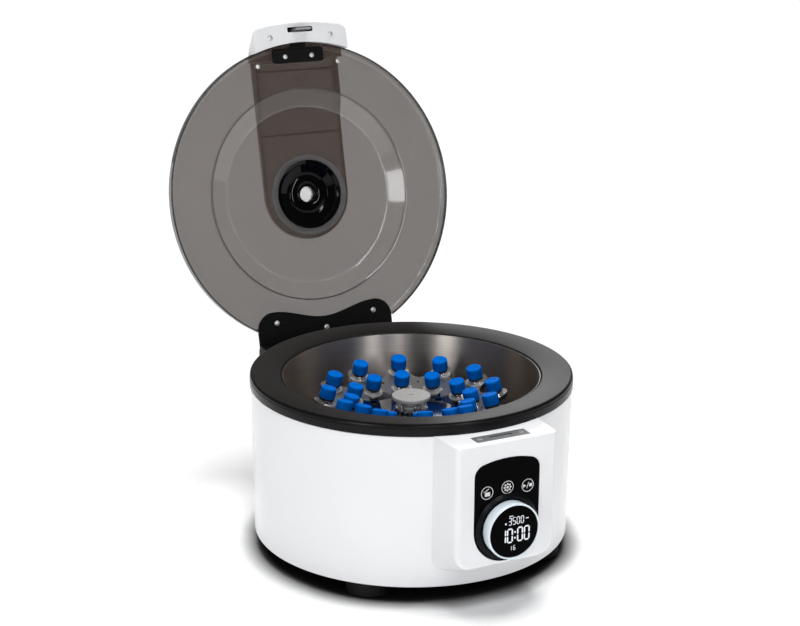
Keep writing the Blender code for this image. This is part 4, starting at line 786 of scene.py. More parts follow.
def make_housing():
    deck_low = DECK_Z - DECK_THICKNESS
    ring = [
        (DRUM_BOTTOM_RADIUS, DRUM_Z), (DRUM_TOP_RADIUS, DECK_Z), (DECK_HOLE_RADIUS, DECK_Z),
        (DECK_HOLE_RADIUS, deck_low), (DRUM_TOP_RADIUS - DRUM_WALL, deck_low),
        (DRUM_BOTTOM_RADIUS - DRUM_WALL, DRUM_Z),
    ]
    above, ahead = POD_TOP + OVERRUN, POD_FRONT + OVERRUN
    seats = [
        pod_solid(POD_WALL, POD_BACK - OVERRUN, POD_CEILING),
        cylinder(COLLAR_RADIUS + TOUCH, DECK_Z + TOUCH / 2, above, FINE),
        front_slab(panel_outline(TOUCH), PANEL_BACK - TOUCH, ahead),
        front_slab(panel_outline(-PANEL_LEDGE), POD_FRONT - POD_WALL - OVERRUN, ahead),
    ]
    back = STRIKE_SLOT[1] / 2 - HOOK_LINE
    half, depth, below, over = LATCH_BOSS
    latch_boss = box(span(half), (back, back + depth), (POD_CEILING - below, POD_CEILING + over))
    half, depth, height = BOLT_CHANNEL
    latch_cuts = [
        box(span(half), (back - OVERRUN, back + depth), (POD_CEILING - height, POD_CEILING)),
        box(
            span(STRIKE_WIDTH / 2 + TOUCH), span(STRIKE_DEPTH / 2 + TOUCH, -HOOK_LINE),
            (STRIKE_TOP - STRIKE_THICKNESS - TOUCH, above),
        ),
        box(span(STRIKE_SLOT[0] / 2), span(STRIKE_SLOT[1] / 2, -HOOK_LINE), (POD_CEILING - OVERRUN, above)),
    ]
    inner = REAR_BOSS_FACE - REAR_BOSS_DEPTH
    boss = box(span(REAR_BOSS_WIDTH / 2), (inner, REAR_BOSS_FACE), REAR_BOSS)
    through = (inner - OVERRUN, REAR_BOSS_FACE + OVERRUN)
    holes = [
        box(span(width / 2, x), through, span(height / 2, REAR_MIDDLE)) for x, width, height in (
            (INLET_X, INLET_BODY[0] + 2 * TOUCH, INLET_BODY[1] + 2 * TOUCH),
            (SWITCH_X, SWITCH_WIDTH + 2 * TOUCH, SWITCH_HEIGHT + SWITCH_ROOM),
        )
    ]
    mesh = mesh_of("housing_shell", lathe(rounded(ring, {0: 0.001, 1: 0.0008}, 4)), [WHITE])
    mesh = carved(mesh, [pod_solid(0, POD_BACK, POD_TOP)], seats)
    mesh = carved(carved(mesh, [latch_boss], latch_cuts), [boss], holes)
    piece("housing_shell", mesh, DRUM, "base", "housing_white", ["housing"], weighted=True)


def make_feet():
    waist = FOOT_RADIUS - 0.0005
    profile = [
        (0, 0.0006), (0.006, 0.0006), (0.0066, 0), (FOOT_RADIUS, 0), (FOOT_RADIUS, 0.0098), (waist, 0.0103),
        (waist, 0.0111), (FOOT_RADIUS, 0.0116), (FOOT_RADIUS, FOOT_HEIGHT), (0, FOOT_HEIGHT),
    ]
    mesh = mesh_of("foot_pad", lathe(rounded(profile, {3: 0.0015}, 5), ROUND), [RUBBER])
    for name, angle in {"front_left": 225, "front_right": 315, "rear_right": 45, "rear_left": 135}.items():
        turn = math.radians(angle)
        where = at(FOOT_CIRCLE_RADIUS * math.cos(turn), FOOT_CIRCLE_RADIUS * math.sin(turn), 0)
        piece(f"foot_pad_{name}", mesh, DRUM @ where, "base", "dark_rubber", [f"foot_{name}"])


def make_collar():
    """A grooved outer wall, a dished top, and a step below that clears the bowl's flange."""
    groove, step = COLLAR_RADIUS - 0.0005, FLANGE_RADIUS + TOUCH
    profile = [(radius, COLLAR_Z + height) for radius, height in (
        (COLLAR_RADIUS, 0), (COLLAR_RADIUS, 0.0078), (groove, 0.0081), (groove, 0.0086),
        (COLLAR_RADIUS - 0.0001, 0.0089), (COLLAR_RADIUS - 0.0006, 0.0125), (COLLAR_INNER_RADIUS + 0.0006, 0.0088),
        (COLLAR_INNER_RADIUS, 0.0072), (COLLAR_INNER_RADIUS, BOWL_WALL + TOUCH), (step, BOWL_WALL + TOUCH), (step, 0),
    )]
    line = rounded(profile, {0: 0.0006, 1: 0.0002, 4: 0.0003, 5: 0.0026, 6: 0.0008}, 5)
    outside = COLLAR_TOP_RADIUS + 0.0006
    mats = [int(min(a[0], b[0]) > outside) for a, b in sides(line)]
    show("collar_ring", lathe(line, FINE, mats), [COLLAR, COLLAR_EDGE], DRUM, "base", "black_satin", ["collar"])


def make_bowl():
    outside, under = BOWL_RADIUS + BOWL_WALL, BOWL_FLOOR - BOWL_WALL
    profile = [
        (FLANGE_RADIUS, COLLAR_Z), (FLANGE_RADIUS, FLANGE_TOP), (BOWL_ROLL_RADIUS, FLANGE_TOP),
        (BOWL_ROLL_RADIUS, BOWL_RIM), (BOWL_RADIUS, BOWL_RIM), (BOWL_RADIUS, BOWL_FLOOR),
        (BOWL_BOOT_HOLE, BOWL_FLOOR), (BOWL_BOOT_HOLE, under), (outside, under), (outside, COLLAR_Z),
    ]
    line = rounded(profile, {3: 0.0003, 4: 0.0003, 5: BOWL_CORNER, 8: BOWL_CORNER + BOWL_WALL}, 10)
    show("bowl_liner", lathe(line), [STEEL], DRUM, "base", "bowl_steel", ["bowl"])
    inside = BOWL_ROLL_RADIUS + 0.0001
    low, high = FLANGE_TOP + TOUCH, BOWL_RIM + 0.0002
    ring = [(inside, low), (SEAL_RADIUS, low), (SEAL_RADIUS, high), (inside, high)]
    seal = lathe(rounded(ring, {2: 0.0002, 3: 0.0002}, 3))
    show("seal_ring", seal, [SEAL], DRUM, "base", "dark_rubber", ["bowl_seal"])


# Rotor

def spoke_turn(turns):
    """The angle of a spoke, counted from the first."""
    return FIRST_SPOKE_ANGLE + 2 * math.pi * turns / SPOKES


def tube_frames():
    frames = {}
    lean = Matrix.Rotation(-TUBE_TILT, 4, "Y")
    for row, (radius, height) in {"outer": OUTER_CAP, "inner": INNER_CAP}.items():
        for spoke in range(SPOKES):
            turn = Matrix.Rotation(spoke_turn(spoke), 4, "Z")
            frames[f"{row}_{spoke + 1:02d}"] = turn @ at(radius, 0, height) @ lean
    return frames


def plate_point(radius, height):
    return (radius + PLATE_DROP * math.sin(TUBE_TILT), height - PLATE_DROP * math.cos(TUBE_TILT))


def hole_ring(radius, size, facets=TINY, every=1):
    """Tools for upright holes halfway between the spokes."""
    tools = []
    for spoke in range(0, SPOKES, every):
        turn = Matrix.Rotation(spoke_turn(spoke + 0.5), 4, "Z")
        tools.append(placed(cylinder(size, *HOLE_SPAN, facets), turn @ at(radius, 0, 0)))
    return tools


def pin_holes():
    return [tool for hole in PIN_HOLES for tool in hole_ring(*hole)]


def sleeve_bores():
    radius, low, high = SLEEVE_HOLE
    return gathered([placed(cylinder(radius, low, high, SMALL), place) for place in tube_frames().values()])


def lobed_outline(shrink=0.0, steps=16):
    """The plate's edge: a round lobe about each outer tube, and a hollow between neighbours."""
    half = math.pi / SPOKES
    reach = plate_point(*OUTER_CAP)[0]
    flat_way = reach * math.cos(half)
    hollow = VALLEY_RADIUS**2 + reach**2 - 2 * VALLEY_RADIUS * flat_way - LOBE_RADIUS**2
    hollow /= 2 * (flat_way + LOBE_RADIUS - VALLEY_RADIUS)
    away = VALLEY_RADIUS + hollow
    turn = math.degrees(math.atan2(away * math.sin(half), away * math.cos(half) - reach))
    middle = 180 + math.degrees(half)
    outline = []
    for spoke in range(SPOKES):
        angle = FIRST_SPOKE_ANGLE + 2 * half * spoke
        points = arc((reach, 0), LOBE_RADIUS - shrink, -turn, turn, steps)[:-1]
        centre = (away * math.cos(half), away * math.sin(half))
        points += arc(centre, hollow + shrink, turn + 180, 2 * middle - turn - 180, steps)[:-1]
        across, along = math.cos(angle), math.sin(angle)
        outline += [(x * across - y * along, x * along + y * across) for x, y in points]
    return outline


def make_rotor():
    bore, foot = SHAFT_RADIUS + TOUCH, HUB_TOP - HUB_LENGTH
    outer, inner = plate_point(*OUTER_CAP), plate_point(*INNER_CAP)
    slope = (outer[1] - inner[1]) / (outer[0] - inner[0])
    rim = (outer[0] + PLATE_OVERHANG, outer[1] + PLATE_OVERHANG * slope)
    upper = [
        (bore, HUB_TOP), (HUB_RADIUS, HUB_TOP), (HUB_RADIUS, DISH_HEIGHT), (DISH_RADIUS, DISH_HEIGHT), inner, rim,
    ]
    under = [(radius, height - PLATE_THICKNESS) for radius, height in reversed(upper[2:])]
    profile = upper + under + [(HUB_RADIUS, foot), (bore, foot)]
    line = rounded(profile, {1: 0.0012, 2: 0.002, 3: 0.003, 5: 0.0012, 6: 0.0012, 10: 0.001}, 4)
    mesh = mesh_of("rotor_plate", lathe(line, TURNED), [MIRROR])
    mesh = boolean(mesh, slab(lobed_outline(), foot - OVERRUN, rim[1] + OVERRUN), "INTERSECT")
    mesh = carved(mesh, cuts=[sleeve_bores(), gathered(pin_holes() + hole_ring(*DRAIN_HOLES, 32, 3))])
    piece("rotor_plate", mesh, DRUM, "spindle", "rotor_aluminium", ["rotor"], weighted=True)

    # The pale webs on the plate: lobed outside, and pointed inwards between the tubes
    rise = (inner[1] - DISH_HEIGHT) * (WEB_START - DISH_RADIUS) / (inner[0] - DISH_RADIUS)
    course = [(WEB_START, DISH_HEIGHT + rise), inner, rim]
    layer = [(r, z + 0.0008) for r, z in course] + [(r, z - 0.0006) for r, z in reversed(course)]
    notch, notch_radius = WEB_NOTCH
    star = []
    for spoke in range(SPOKES):
        for turns, radius in ((spoke - notch, notch_radius), (spoke + notch, notch_radius),
                              (spoke + 0.5, WEB_TIP_RADIUS)):
            star.append((radius * math.cos(spoke_turn(turns)), radius * math.sin(spoke_turn(turns))))
    low = DISH_HEIGHT - OVERRUN
    mesh = mesh_of("rotor_web", lathe(layer, TURNED), [ALUMINIUM])
    mesh = boolean(mesh, slab(lobed_outline(0.0002), low, rim[1] + OVERRUN), "INTERSECT")
    mesh = carved(mesh, cuts=[slab(star, low, rim[1]), sleeve_bores(), gathered(pin_holes())])
    piece("rotor_web", mesh, DRUM, "spindle", "rotor_aluminium", weighted=True)

    bottom, top = -TUBE_REACH - TOUCH - SLEEVE_FLOOR, -CAP_HALF - 0.0025
    washer, neck = -PLATE_DROP + WASHER_THICKNESS, SLEEVE_BORE + SLEEVE_WALL
    floor = bottom + SLEEVE_FLOOR
    profile = [
        (0, bottom), (SLEEVE_RADIUS, bottom), (SLEEVE_RADIUS, washer - WASHER_THICKNESS),
        (WASHER_RADIUS, washer - WASHER_THICKNESS), (WASHER_RADIUS, washer), (neck, washer), (neck, top),
        (SLEEVE_BORE, top), (SLEEVE_BORE, floor), (0, floor),
    ]
    line = rounded(profile, {1: 0.003, 3: 0.0003, 4: 0.0005, 5: 0.0004, 6: 0.0002}, 4)
    mats = [int(max(a[0], b[0]) > SLEEVE_RADIUS + 0.0001) for a, b in sides(line)]
    sleeve = mesh_of("sleeve", lathe(line, SMALL, mats), [CHROME, NUT])
    for name, place in tube_frames().items():
        piece(f"sleeve_{name}", sleeve, DRUM @ place, "spindle", "rotor_aluminium")


def make_tubes():
    half, skirt = CAP_HALF, -CAP_HALF - CAP_SKIRT_DROP
    profile = [
        (0, half - 0.0004), (0.0040, half - 0.0004), (0.0046, half), (CAP_RADIUS, half), (CAP_RADIUS, -half),
        (CAP_SKIRT_RADIUS, -half), (CAP_SKIRT_RADIUS, skirt), (TUBE_RADIUS, skirt), (TUBE_RADIUS, -TUBE_REACH),
        (0, -TUBE_REACH),
    ]
    line = rounded(profile, {3: 0.0013, 4: 0.0004, 6: 0.0004, 8: 0.0058}, 5)
    mats = []
    for (_, z0), (_, z1) in sides(line):
        middle = (z0 + z1) / 2
        mats.append(0 if middle > -half - 1e-5 else (1 if middle > skirt - 0.0001 else 2))
    mesh = mesh_of("tube", lathe(line, SMALL, mats), [CAP, SEAL, TUBE])
    for name, place in tube_frames().items():
        piece(f"capped_tube_{name}", mesh, DRUM @ place, "spindle", "cap_blue", [f"tube_{name}"])


def make_nut():
    low, top = NUT_Z, NUT_TOP
    bore, disc = SHAFT_RADIUS + TOUCH, top - NUT_DISC_HEIGHT
    grooves = []
    for radius in NUT_GROOVES:
        grooves += [(radius + 0.0004, top), (radius, top - 0.0002), (radius - 0.0004, top)]
    profile = [
        (bore, low), (NUT_FOOT_RADIUS, low), (NUT_FOOT_RADIUS, low + 0.0016), (NUT_NECK_RADIUS, low + 0.0026),
        (NUT_NECK_RADIUS, disc - 0.001), (0.010, disc), (NUT_RADIUS, disc), (NUT_RADIUS, top), *grooves,
        (0, top), (0, top - 0.0015), (bore, top - 0.0015),
    ]
    line = rounded(profile, {2: 0.0005, 6: 0.0008, 7: 0.0009}, 4)
    depth = (top - 0.0012, top + 0.001)
    cuts = [box(span(0.0042), span(0.0006), depth), cylinder(0.0014, *depth, TINY)]
    show("nut_disc", lathe(line, 128), [NUT], DRUM, "spindle", "rotor_aluminium", ["rotor_nut"], cuts=cuts,
         weighted=True)
    posts = []
    for number in range(6):
        turn = math.radians(60 * number + 20)
        where = at(POST_CIRCLE_RADIUS * math.cos(turn), POST_CIRCLE_RADIUS * math.sin(turn), 0)
        posts.append(placed(cylinder(0.0016, HUB_TOP - 0.0005, HUB_TOP + 0.0042, TINY, 0.0004), where))
    show("hub_posts", gathered(posts), [CHROME], DRUM, "spindle", "rotor_aluminium")


# Panel, keys, knob and display

def make_panel():
    low, high = PANEL_FACE - 0.0014, PANEL_FACE + BEZEL_HEIGHT
    ring = [
        (BEZEL_INNER, low), (BEZEL_OUTER, low), (BEZEL_OUTER, PANEL_FACE + 0.0002), (BEZEL_OUTER - 0.0030, high),
        (BEZEL_INNER, high),
    ]
    bezel = placed(lathe(rounded(ring, {3: 0.0012, 4: 0.0004}, 5), 128), at(0, KNOB_HEIGHT, 0))
    through = (PANEL_BACK - OVERRUN, PANEL_FACE + OVERRUN)
    holes = [placed(cylinder(KNOB_STEM_RADIUS + TOUCH, *through), at(0, KNOB_HEIGHT, 0))]
    for x, z, _ in KEYS.values():
        holes.append(placed(cylinder(KEY_RADIUS + TOUCH, *through, BOLD), at(x, z, 0)))
    posts = [
        placed(cylinder(0.0025, BOARD_FACE + TOUCH, PANEL_BACK + 0.001, 32), at(x, z, 0)) for x, z in PANEL_POSTS
    ]
    plate = slab(panel_outline(0), PANEL_BACK, PANEL_FACE, 0.0006)
    show("panel_plate", plate, [PANEL, BEZEL], FRONT, "base", "black_gloss", ["control_panel"], cuts=holes,
         weighted=True)
    show("panel_bezel", bezel, [BEZEL], FRONT, "base", "black_gloss")
    show("panel_posts", gathered(posts), [BLACK], FRONT, "base", "black_satin")


def bar(first, second, width):
    """A flat bar between two points."""
    a, b = Vector(first), Vector(second)
    side = (b - a).normalized().orthogonal() * width / 2
    return [tuple(a + side), tuple(b + side), tuple(b - side), tuple(a - side)]


def ring_of(radius, width, steps=BOLD):
    made = bmesh.new()
    inner = [made.verts.new((x, y, 0)) for x, y in circle(radius - width / 2, steps)]
    outer = [made.verts.new((x, y, 0)) for x, y in circle(radius + width / 2, steps)]
    for here in range(steps):
        there = (here + 1) % steps
        made.faces.new((inner[here], inner[there], outer[there], outer[here]))
    return made


def flat(outlines, height=0.0):
    """Flat faces from outlines."""
    made = bmesh.new()
    for outline in outlines:
        made.faces.new([made.verts.new((x, y, height)) for x, y in outline])
    return made


def thick(made, height):
    """Give flat faces a small thickness forwards."""
    bmesh.ops.recalc_face_normals(made, faces=made.faces)
    grown = bmesh.ops.extrude_face_region(made, geom=list(made.faces), use_keep_orig=True)
    verts = [item for item in grown["geom"] if isinstance(item, bmesh.types.BMVert)]
    bmesh.ops.translate(made, verts=verts, vec=(0, 0, height))
    return made


def key_icon(name):
    """An open box, a toothed wheel, or a play sign, a stroke and a square."""
    mm = 0.001
    if name == "key_lid":
        case = [(-2.4 * mm, -3.4 * mm), (3.2 * mm, -3.4 * mm), (3.2 * mm, 0.6 * mm), (-2.4 * mm, 0.6 * mm)]
        return flat([
            rounded(case, 0.7 * mm, 3), bar((-2.4 * mm, 1.4 * mm), (1.9 * mm, 4.0 * mm), 0.7 * mm),
            bar((-3.3 * mm, 0.4 * mm), (-3.3 * mm, 2.2 * mm), 0.5 * mm),
        ])
    if name == "key_settings":
        arms = [Vector((math.cos(turn), math.sin(turn))) for turn in (math.pi / 4 * tooth for tooth in range(8))]
        made = flat([bar(arm * 3.0 * mm, arm * 4.3 * mm, 1.4 * mm) for arm in arms])
        append(made, ring_of(2.8 * mm, 0.7 * mm, SMALL))
        return append(made, flat([circle(1.3 * mm, TINY)]))
    return flat([
        [(-5.0 * mm, -1.9 * mm), (-1.7 * mm, 0), (-5.0 * mm, 1.9 * mm)],
        bar((-1.1 * mm, -3.0 * mm), (1.1 * mm, 3.0 * mm), 0.7 * mm),
        rectangle(3.2 * mm, 3.2 * mm, 3.3 * mm, 0),
    ])


def make_keys():
    stem = BOARD_FACE + 0.0008 - PANEL_FACE
    profile = [
        (0, stem), (KEY_STEM_RADIUS, stem), (KEY_STEM_RADIUS, -KEY_THICKNESS), (KEY_RADIUS, -KEY_THICKNESS),
        (KEY_RADIUS, 0), (0, 0),
    ]
    line = rounded(profile, {4: 0.0003}, 3)
    for name, (x, z, body) in KEYS.items():
        where = FRONT @ at(x, z, PANEL_FACE)
        show(f"{name}_cap", lathe(line, BOLD), [PANEL], where, body, "black_gloss", [name])
        icon = placed(append(key_icon(name), ring_of(0.0062, 0.0006)), at(0, 0, 0.00001))
        show(f"{name}_icon", thick(icon, 0.00004), [INK], where, body)


SEGMENTS = {"0": "abcdef", "1": "bc", "3": "abgcd", "5": "afgcd", "6": "afgedc"}
# Text, left, bottom, width, height, bar and gap of each row of digits
DIGIT_ROWS = (
    ("3500", -0.0060, 0.0074, 0.0028, 0.0070, 0.0008, 0.0016),
    ("10:00", -0.0144, -0.0102, 0.0051, 0.0134, 0.0015, 0.0022),
    ("16", -0.0044, -0.0186, 0.0018, 0.0044, 0.0006, 0.0022),
)
# Width, height and middle of the small marks beside them
SMALL_MARKS = (
    (0.0032, 0.0009, 0.0140, 0.0114), (0.0016, 0.0018, -0.0092, 0.0092), (0.0044, 0.0007, -0.0036, 0.0162),
)


def digit_bars(text, left, bottom, width, height, stroke, gap):
    """Seven-segment digits as flat bars with pointed ends."""
    parts = []
    x = left
    slit = stroke * 0.16
    for sign in text:
        if sign == ":":
            for level in (0.28, 0.72):
                parts.append(rectangle(stroke * 1.1, stroke * 1.1, x + stroke / 2, bottom + height * level))
            x += stroke + gap
            continue
        right, middle, top = x + width, bottom + height / 2, bottom + height
        ends = {
            "a": ((x, top), (right, top)), "d": ((x, bottom), (right, bottom)),
            "g": ((x, middle), (right, middle)), "f": ((x, middle), (x, top)), "e": ((x, bottom), (x, middle)),
            "b": ((right, middle), (right, top)), "c": ((right, bottom), (right, middle)),
        }
        for name in SEGMENTS[sign]:
            a, b = (Vector(end) for end in ends[name])
            way = (b - a).normalized()
            side = way.orthogonal() * stroke / 2
            tip = way * stroke / 2
            a, b = a + way * slit, b - way * slit
            corners = (a, a + side + tip, b + side - tip, b, b - side - tip, a - side + tip)
            parts.append([tuple(corner) for corner in corners])
        x += width + gap
    return parts


def make_knob():
    where = FRONT @ at(0, KNOB_HEIGHT, 0)
    inside, outside = KNOB_RADIUS - KNOB_RIM, KNOB_FRONT_RADIUS - KNOB_RIM
    web, hole = LENS_BACK - TOUCH, KNOB_STEM_RADIUS + TOUCH
    profile = [
        (hole, web - 0.004), (inside, web - 0.004), (inside, KNOB_BACK), (KNOB_RADIUS, KNOB_BACK),
        (KNOB_FRONT_RADIUS, KNOB_FACE - 0.002), (KNOB_FRONT_RADIUS, KNOB_FACE), (outside, KNOB_FACE),
        (outside, web), (hole, web),
    ]
    line = rounded(profile, {3: 0.0006, 4: 0.002, 5: 0.0007, 6: 0.0003}, 5)
    show("knob_rim", lathe(line, TURNED), [KNOB], where, "knob", "knob_silver", ["knob_ring"])
    stem = BOARD_FACE + 0.0018
    profile = [
        (0, stem), (KNOB_STEM_RADIUS, stem), (KNOB_STEM_RADIUS, LENS_BACK), (LENS_RADIUS, LENS_BACK),
        (LENS_RADIUS, LENS_FACE), (0, LENS_FACE),
    ]
    lens = lathe(rounded(profile, {4: 0.0004}, 4), TURNED)
    show("display_lens", lens, [LENS], where, "display_button", "black_gloss", ["display"])
    parts = [part for row in DIGIT_ROWS for part in digit_bars(*row)]
    parts += [rectangle(*mark) for mark in SMALL_MARKS]
    show("display_digits", thick(flat(parts, LENS_FACE + 0.00001), 0.00005), [MARK], where, "display_button")


# Screws

def add_screws(name, radius, dome, spots, body="lid"):
    """Equal domed screws with a cross recess. Those on the lid point down."""
    profile = [(0, -0.0015), (radius, -0.0015), (radius, dome * 0.25)]
    steps = 8
    for step in range(steps):
        turn = math.pi / 2 * step / steps
        profile.append((radius * math.cos(turn) * 0.995, dome * (0.25 + 0.75 * math.sin(turn))))
    profile.append((0, dome))
    arm, slim = span(radius * 0.55), span(radius * 0.14)
    depth = (dome * 0.30, dome * 2)
    head = carved(mesh_of(name, lathe(profile, 40), [SCREW]), cuts=[box(arm, slim, depth), box(slim, arm, depth)])
    for number, spot in enumerate(spots, start=1):
        where = LID @ at(*spot) @ FACING_DOWN
        if body == "base":
            where = DRUM @ at(*spot) @ Matrix.Rotation(0.4 * number, 4, "Z")
        piece(f"{name}_{number}", head, where, body)


def make_strike():
    outline = rounded(rectangle(STRIKE_WIDTH, STRIKE_DEPTH, 0, -HOOK_LINE), 0.0022, 6)
    slot = slab(rounded(rectangle(*STRIKE_SLOT, 0, -HOOK_LINE), SLOT_CORNER, 5), 0.160, 0.180)
    plate = slab(outline, STRIKE_TOP - STRIKE_THICKNESS, STRIKE_TOP, 0.0003)
    show("strike_face", plate, [STRIKE], DRUM, "base", "bright_steel", ["strike_plate"], cuts=[slot],
         weighted=True)
    add_screws("strike_screw", 0.0029, 0.0009, [(x, -HOOK_LINE, STRIKE_TOP) for x in (-0.0225, 0.0225)], "base")


# Lid

def lid_band(a, b):
    """Which of the lid's materials a band of its profile has: pane, foot and lip in darker smoke as painted edge
    shade, outer bend with a painted dark line, inner bend with a painted highlight.
    """
    radius, height = (a[0] + b[0]) / 2, (a[1] + b[1]) / 2
    if max(a[1], b[1]) < LID_Z - LID_LIP_DROP + 0.0006:
        return 1
    if radius > LID_RADIUS - LID_LIP - 0.0002 and height < LID_Z - 0.001:
        return 2
    if height < LID_Z + STEP_RISE + TOUCH:
        # Painted dark line at the outer bend, painted highlight at the inner bend
        if abs(radius - STEP_OUTER) < BEND_HALF:
            return 3
        if abs(radius - STEP_INNER) < BEND_HALF:
            return 4
    return 0


def make_lid_shell():
    inner, foot, bore = LID_RADIUS - LID_LIP, LID_Z - LID_LIP_DROP, PORT_BODY + TOUCH
    profile = [
        (LID_RADIUS, foot), (LID_RADIUS, LID_TOP), (STEP_OUTER, LID_TOP), (STEP_INNER, LID_TOP + STEP_RISE),
        (bore, LID_TOP + STEP_RISE), (bore, LID_Z + STEP_RISE), (STEP_INNER, LID_Z + STEP_RISE),
        (STEP_OUTER, LID_Z), (inner, LID_Z), (inner, foot),
    ]
    radii = {0: 0.0005, 1: 0.0036, 8: 0.005, 9: 0.0005} | dict.fromkeys((2, 3, 6, 7), STEP_ROUND)
    line = rounded(profile, radii, 8)
    height = (foot - OVERRUN, LID_Z + TOUCH / 2)
    notches = [
        box(span(SADDLE_HALF + TOUCH), (SADDLE_LOBE_Y - OVERRUN / 2, LID_RADIUS + OVERRUN), height),
        box(span(TONGUE_HALF + TOUCH), (-LID_RADIUS - OVERRUN, -HOOK_PLATE[0]), height),
    ]
    pane = lathe(line, FINE, [lid_band(a, b) for a, b in sides(line)])
    looks = [LID_SMOKE, RIM_SMOKE_PAINTED_SHADE, LIP_SMOKE_PAINTED_SHADE, BEND_PAINTED_SHADE, BEND_PAINTED_HIGHLIGHT]
    show("lid_pane", pane, looks, LID, "lid", "lid_smoked", ["lid_shell"], cuts=notches, weighted=True)


def spine_outline(depth):
    half = SPINE_HALF - depth
    return arc((0, 0), half, 0, 180, SMALL) + [(-half, depth - SPINE_END), (half, depth - SPINE_END)]


def make_spine():
    flat_top, step_top = LID_TOP + TOUCH, LID_TOP + STEP_RISE + TOUCH
    under = [
        (0, LID_Z - OVERRUN), (LID_RADIUS, LID_Z - OVERRUN), (LID_RADIUS, flat_top), (STEP_OUTER, flat_top),
        (STEP_INNER, step_top), (0, step_top),
    ]
    cuts = [
        slab(spine_outline(SPINE_WALL), LID_Z - OVERRUN, SPINE_TOP - SPINE_WALL, 0.0015),
        lathe(rounded(under, {3: STEP_ROUND, 4: STEP_ROUND}, 8), 180),
        cylinder(SIGHT_RADIUS, LID_Z, SPINE_TOP + OVERRUN, BOLD),
    ]
    cover = slab(spine_outline(0), LID_Z, SPINE_TOP, 0.003, 0, 6)
    mesh = carved(mesh_of("spine_cover", cover, [SPINE_SMOKE, SPINE_SIDE_PAINTED_SHADE]), cuts=cuts)
    # Upright faces take the darker smoke, painted shade for the walls seen edge-on
    for face in mesh.polygons:
        face.material_index = int(abs(face.normal.z) < 0.5)
    piece("spine_cover", mesh, LID, "lid", "spine_smoked", ["lid_spine"], weighted=True)
    width = span(SPINE_HALF - SPINE_WALL - TOUCH)
    ribs = [
        box(width, span(RIB_HALF, -depth), (low, SPINE_INSIDE))
        for depth, low in ((0.068, step_top), (0.139, flat_top))
    ]
    # The ribs are near black, painted shade for their dark lines
    show("spine_ribs", gathered(ribs), [RIB_SMOKE_PAINTED_SHADE], LID, "lid", "spine_smoked")


def make_port():
    underside = LID_Z + STEP_RISE
    low, seat = underside - TOUCH - 0.002, underside - TOUCH
    top, floor = SPINE_INSIDE, low + PORT_DEPTH
    profile = [
        (PORT_FLANGE, low), (PORT_FLANGE, seat), (PORT_BODY, seat), (PORT_BODY, top), (SIGHT_RADIUS, top),
        (SIGHT_RADIUS, floor), (0.0105, floor), (0.0113, floor + 0.0006), (0.0123, floor),
        (PORT_FLOOR - 0.004, floor), (PORT_FLOOR - 0.0030, floor + 0.0006), (PORT_FLOOR, floor),
        (PORT_MOUTH - 0.0045, low + 0.0026), (PORT_MOUTH - 0.0036, low + 0.0026), (PORT_MOUTH, low),
    ]
    line = rounded(profile, {0: 0.0008, 5: 0.0008, 11: 0.003, 12: 0.0008, 14: 0.0010}, 5)
    mats = [int(max(a[0], b[0]) > PORT_BODY + 0.0001) for a, b in sides(line)]
    show("port_dish", lathe(line, TURNED, mats), [GLOSS, CLEAR], LID, "lid", "black_gloss", ["lid_port"])
    window = cylinder(SIGHT_RADIUS - 0.0002, top - SIGHT_WINDOW, top - 0.0001, BOLD)
    show("port_window", window, [WINDOW], LID, "lid")


def drop(radius, along):
    return radius - (radius**2 - min(max(along, 0), radius) ** 2) ** 0.5


def handle_section(x, steps=28):
    start = SPINE_END + TOUCH
    top = SPINE_TOP - drop(HANDLE_EDGE, abs(x) - HANDLE_HALF + HANDLE_EDGE)
    reach = HANDLE_REACH - HANDLE_BOW * (x / HANDLE_HALF) ** 2
    reach -= drop(HANDLE_CORNER, abs(x) - HANDLE_HALF + HANDLE_CORNER)
    fall = top - HANDLE_Z - HANDLE_LIP
    section = [(x, -start, HANDLE_Z)]
    for step in range(steps + 1):
        share = step / steps
        section.append((x, -start - share * (reach - start), top - fall * share**HANDLE_CURVE))
    tip = ((0, 0.0014), (0.0004, 0.0004), (0.0014, 0))
    return section + [(x, back - reach, HANDLE_Z + up) for back, up in tip]


def make_handle():
    right = [x for x, _ in arc((HANDLE_HALF - HANDLE_EDGE, 0), HANDLE_EDGE, 90, 0, 18)]
    middle = [HANDLE_HALF * 0.75 * (step / 8 - 1) for step in range(1, 16)]
    middle = [x for x in middle if abs(x) < right[0] - 0.002]
    body = loft([handle_section(x) for x in [-x for x in reversed(right)] + middle + right])
    below = HANDLE_Z - OVERRUN
    slot = slab(rounded(rectangle(*HANDLE_SLOT, 0, -HOOK_LINE), SLOT_CORNER, 5), below, HOOK_BEND)
    tongue = box(
        span(TONGUE_HALF + TOUCH), (-HOOK_LINE + HANDLE_SLOT[1] / 2 - TOUCH, OVERRUN - LID_RADIUS),
        (HOOK_BEND - HOOK_THICKNESS - TOUCH, LID_Z),
    )
    # Painted shade: the slot's and the tongue's cut faces take the black material, darkening the recess
    cuts = [cylinder(LID_RADIUS + TOUCH, below, LID_TOP + TOUCH, FINE), painted_shade_on(slot, 1), painted_shade_on(tongue, 1)]
    show("handle_grip", body, [WHITE, BLACK], LID, "lid", "housing_white", ["lid_handle"], cuts=cuts, sharp=40,
         weighted=True)
    add_screws("handle_screw", 0.0030, 0.0010, [(x, -0.174, HANDLE_Z) for x in (-0.0363, 0.0363)])


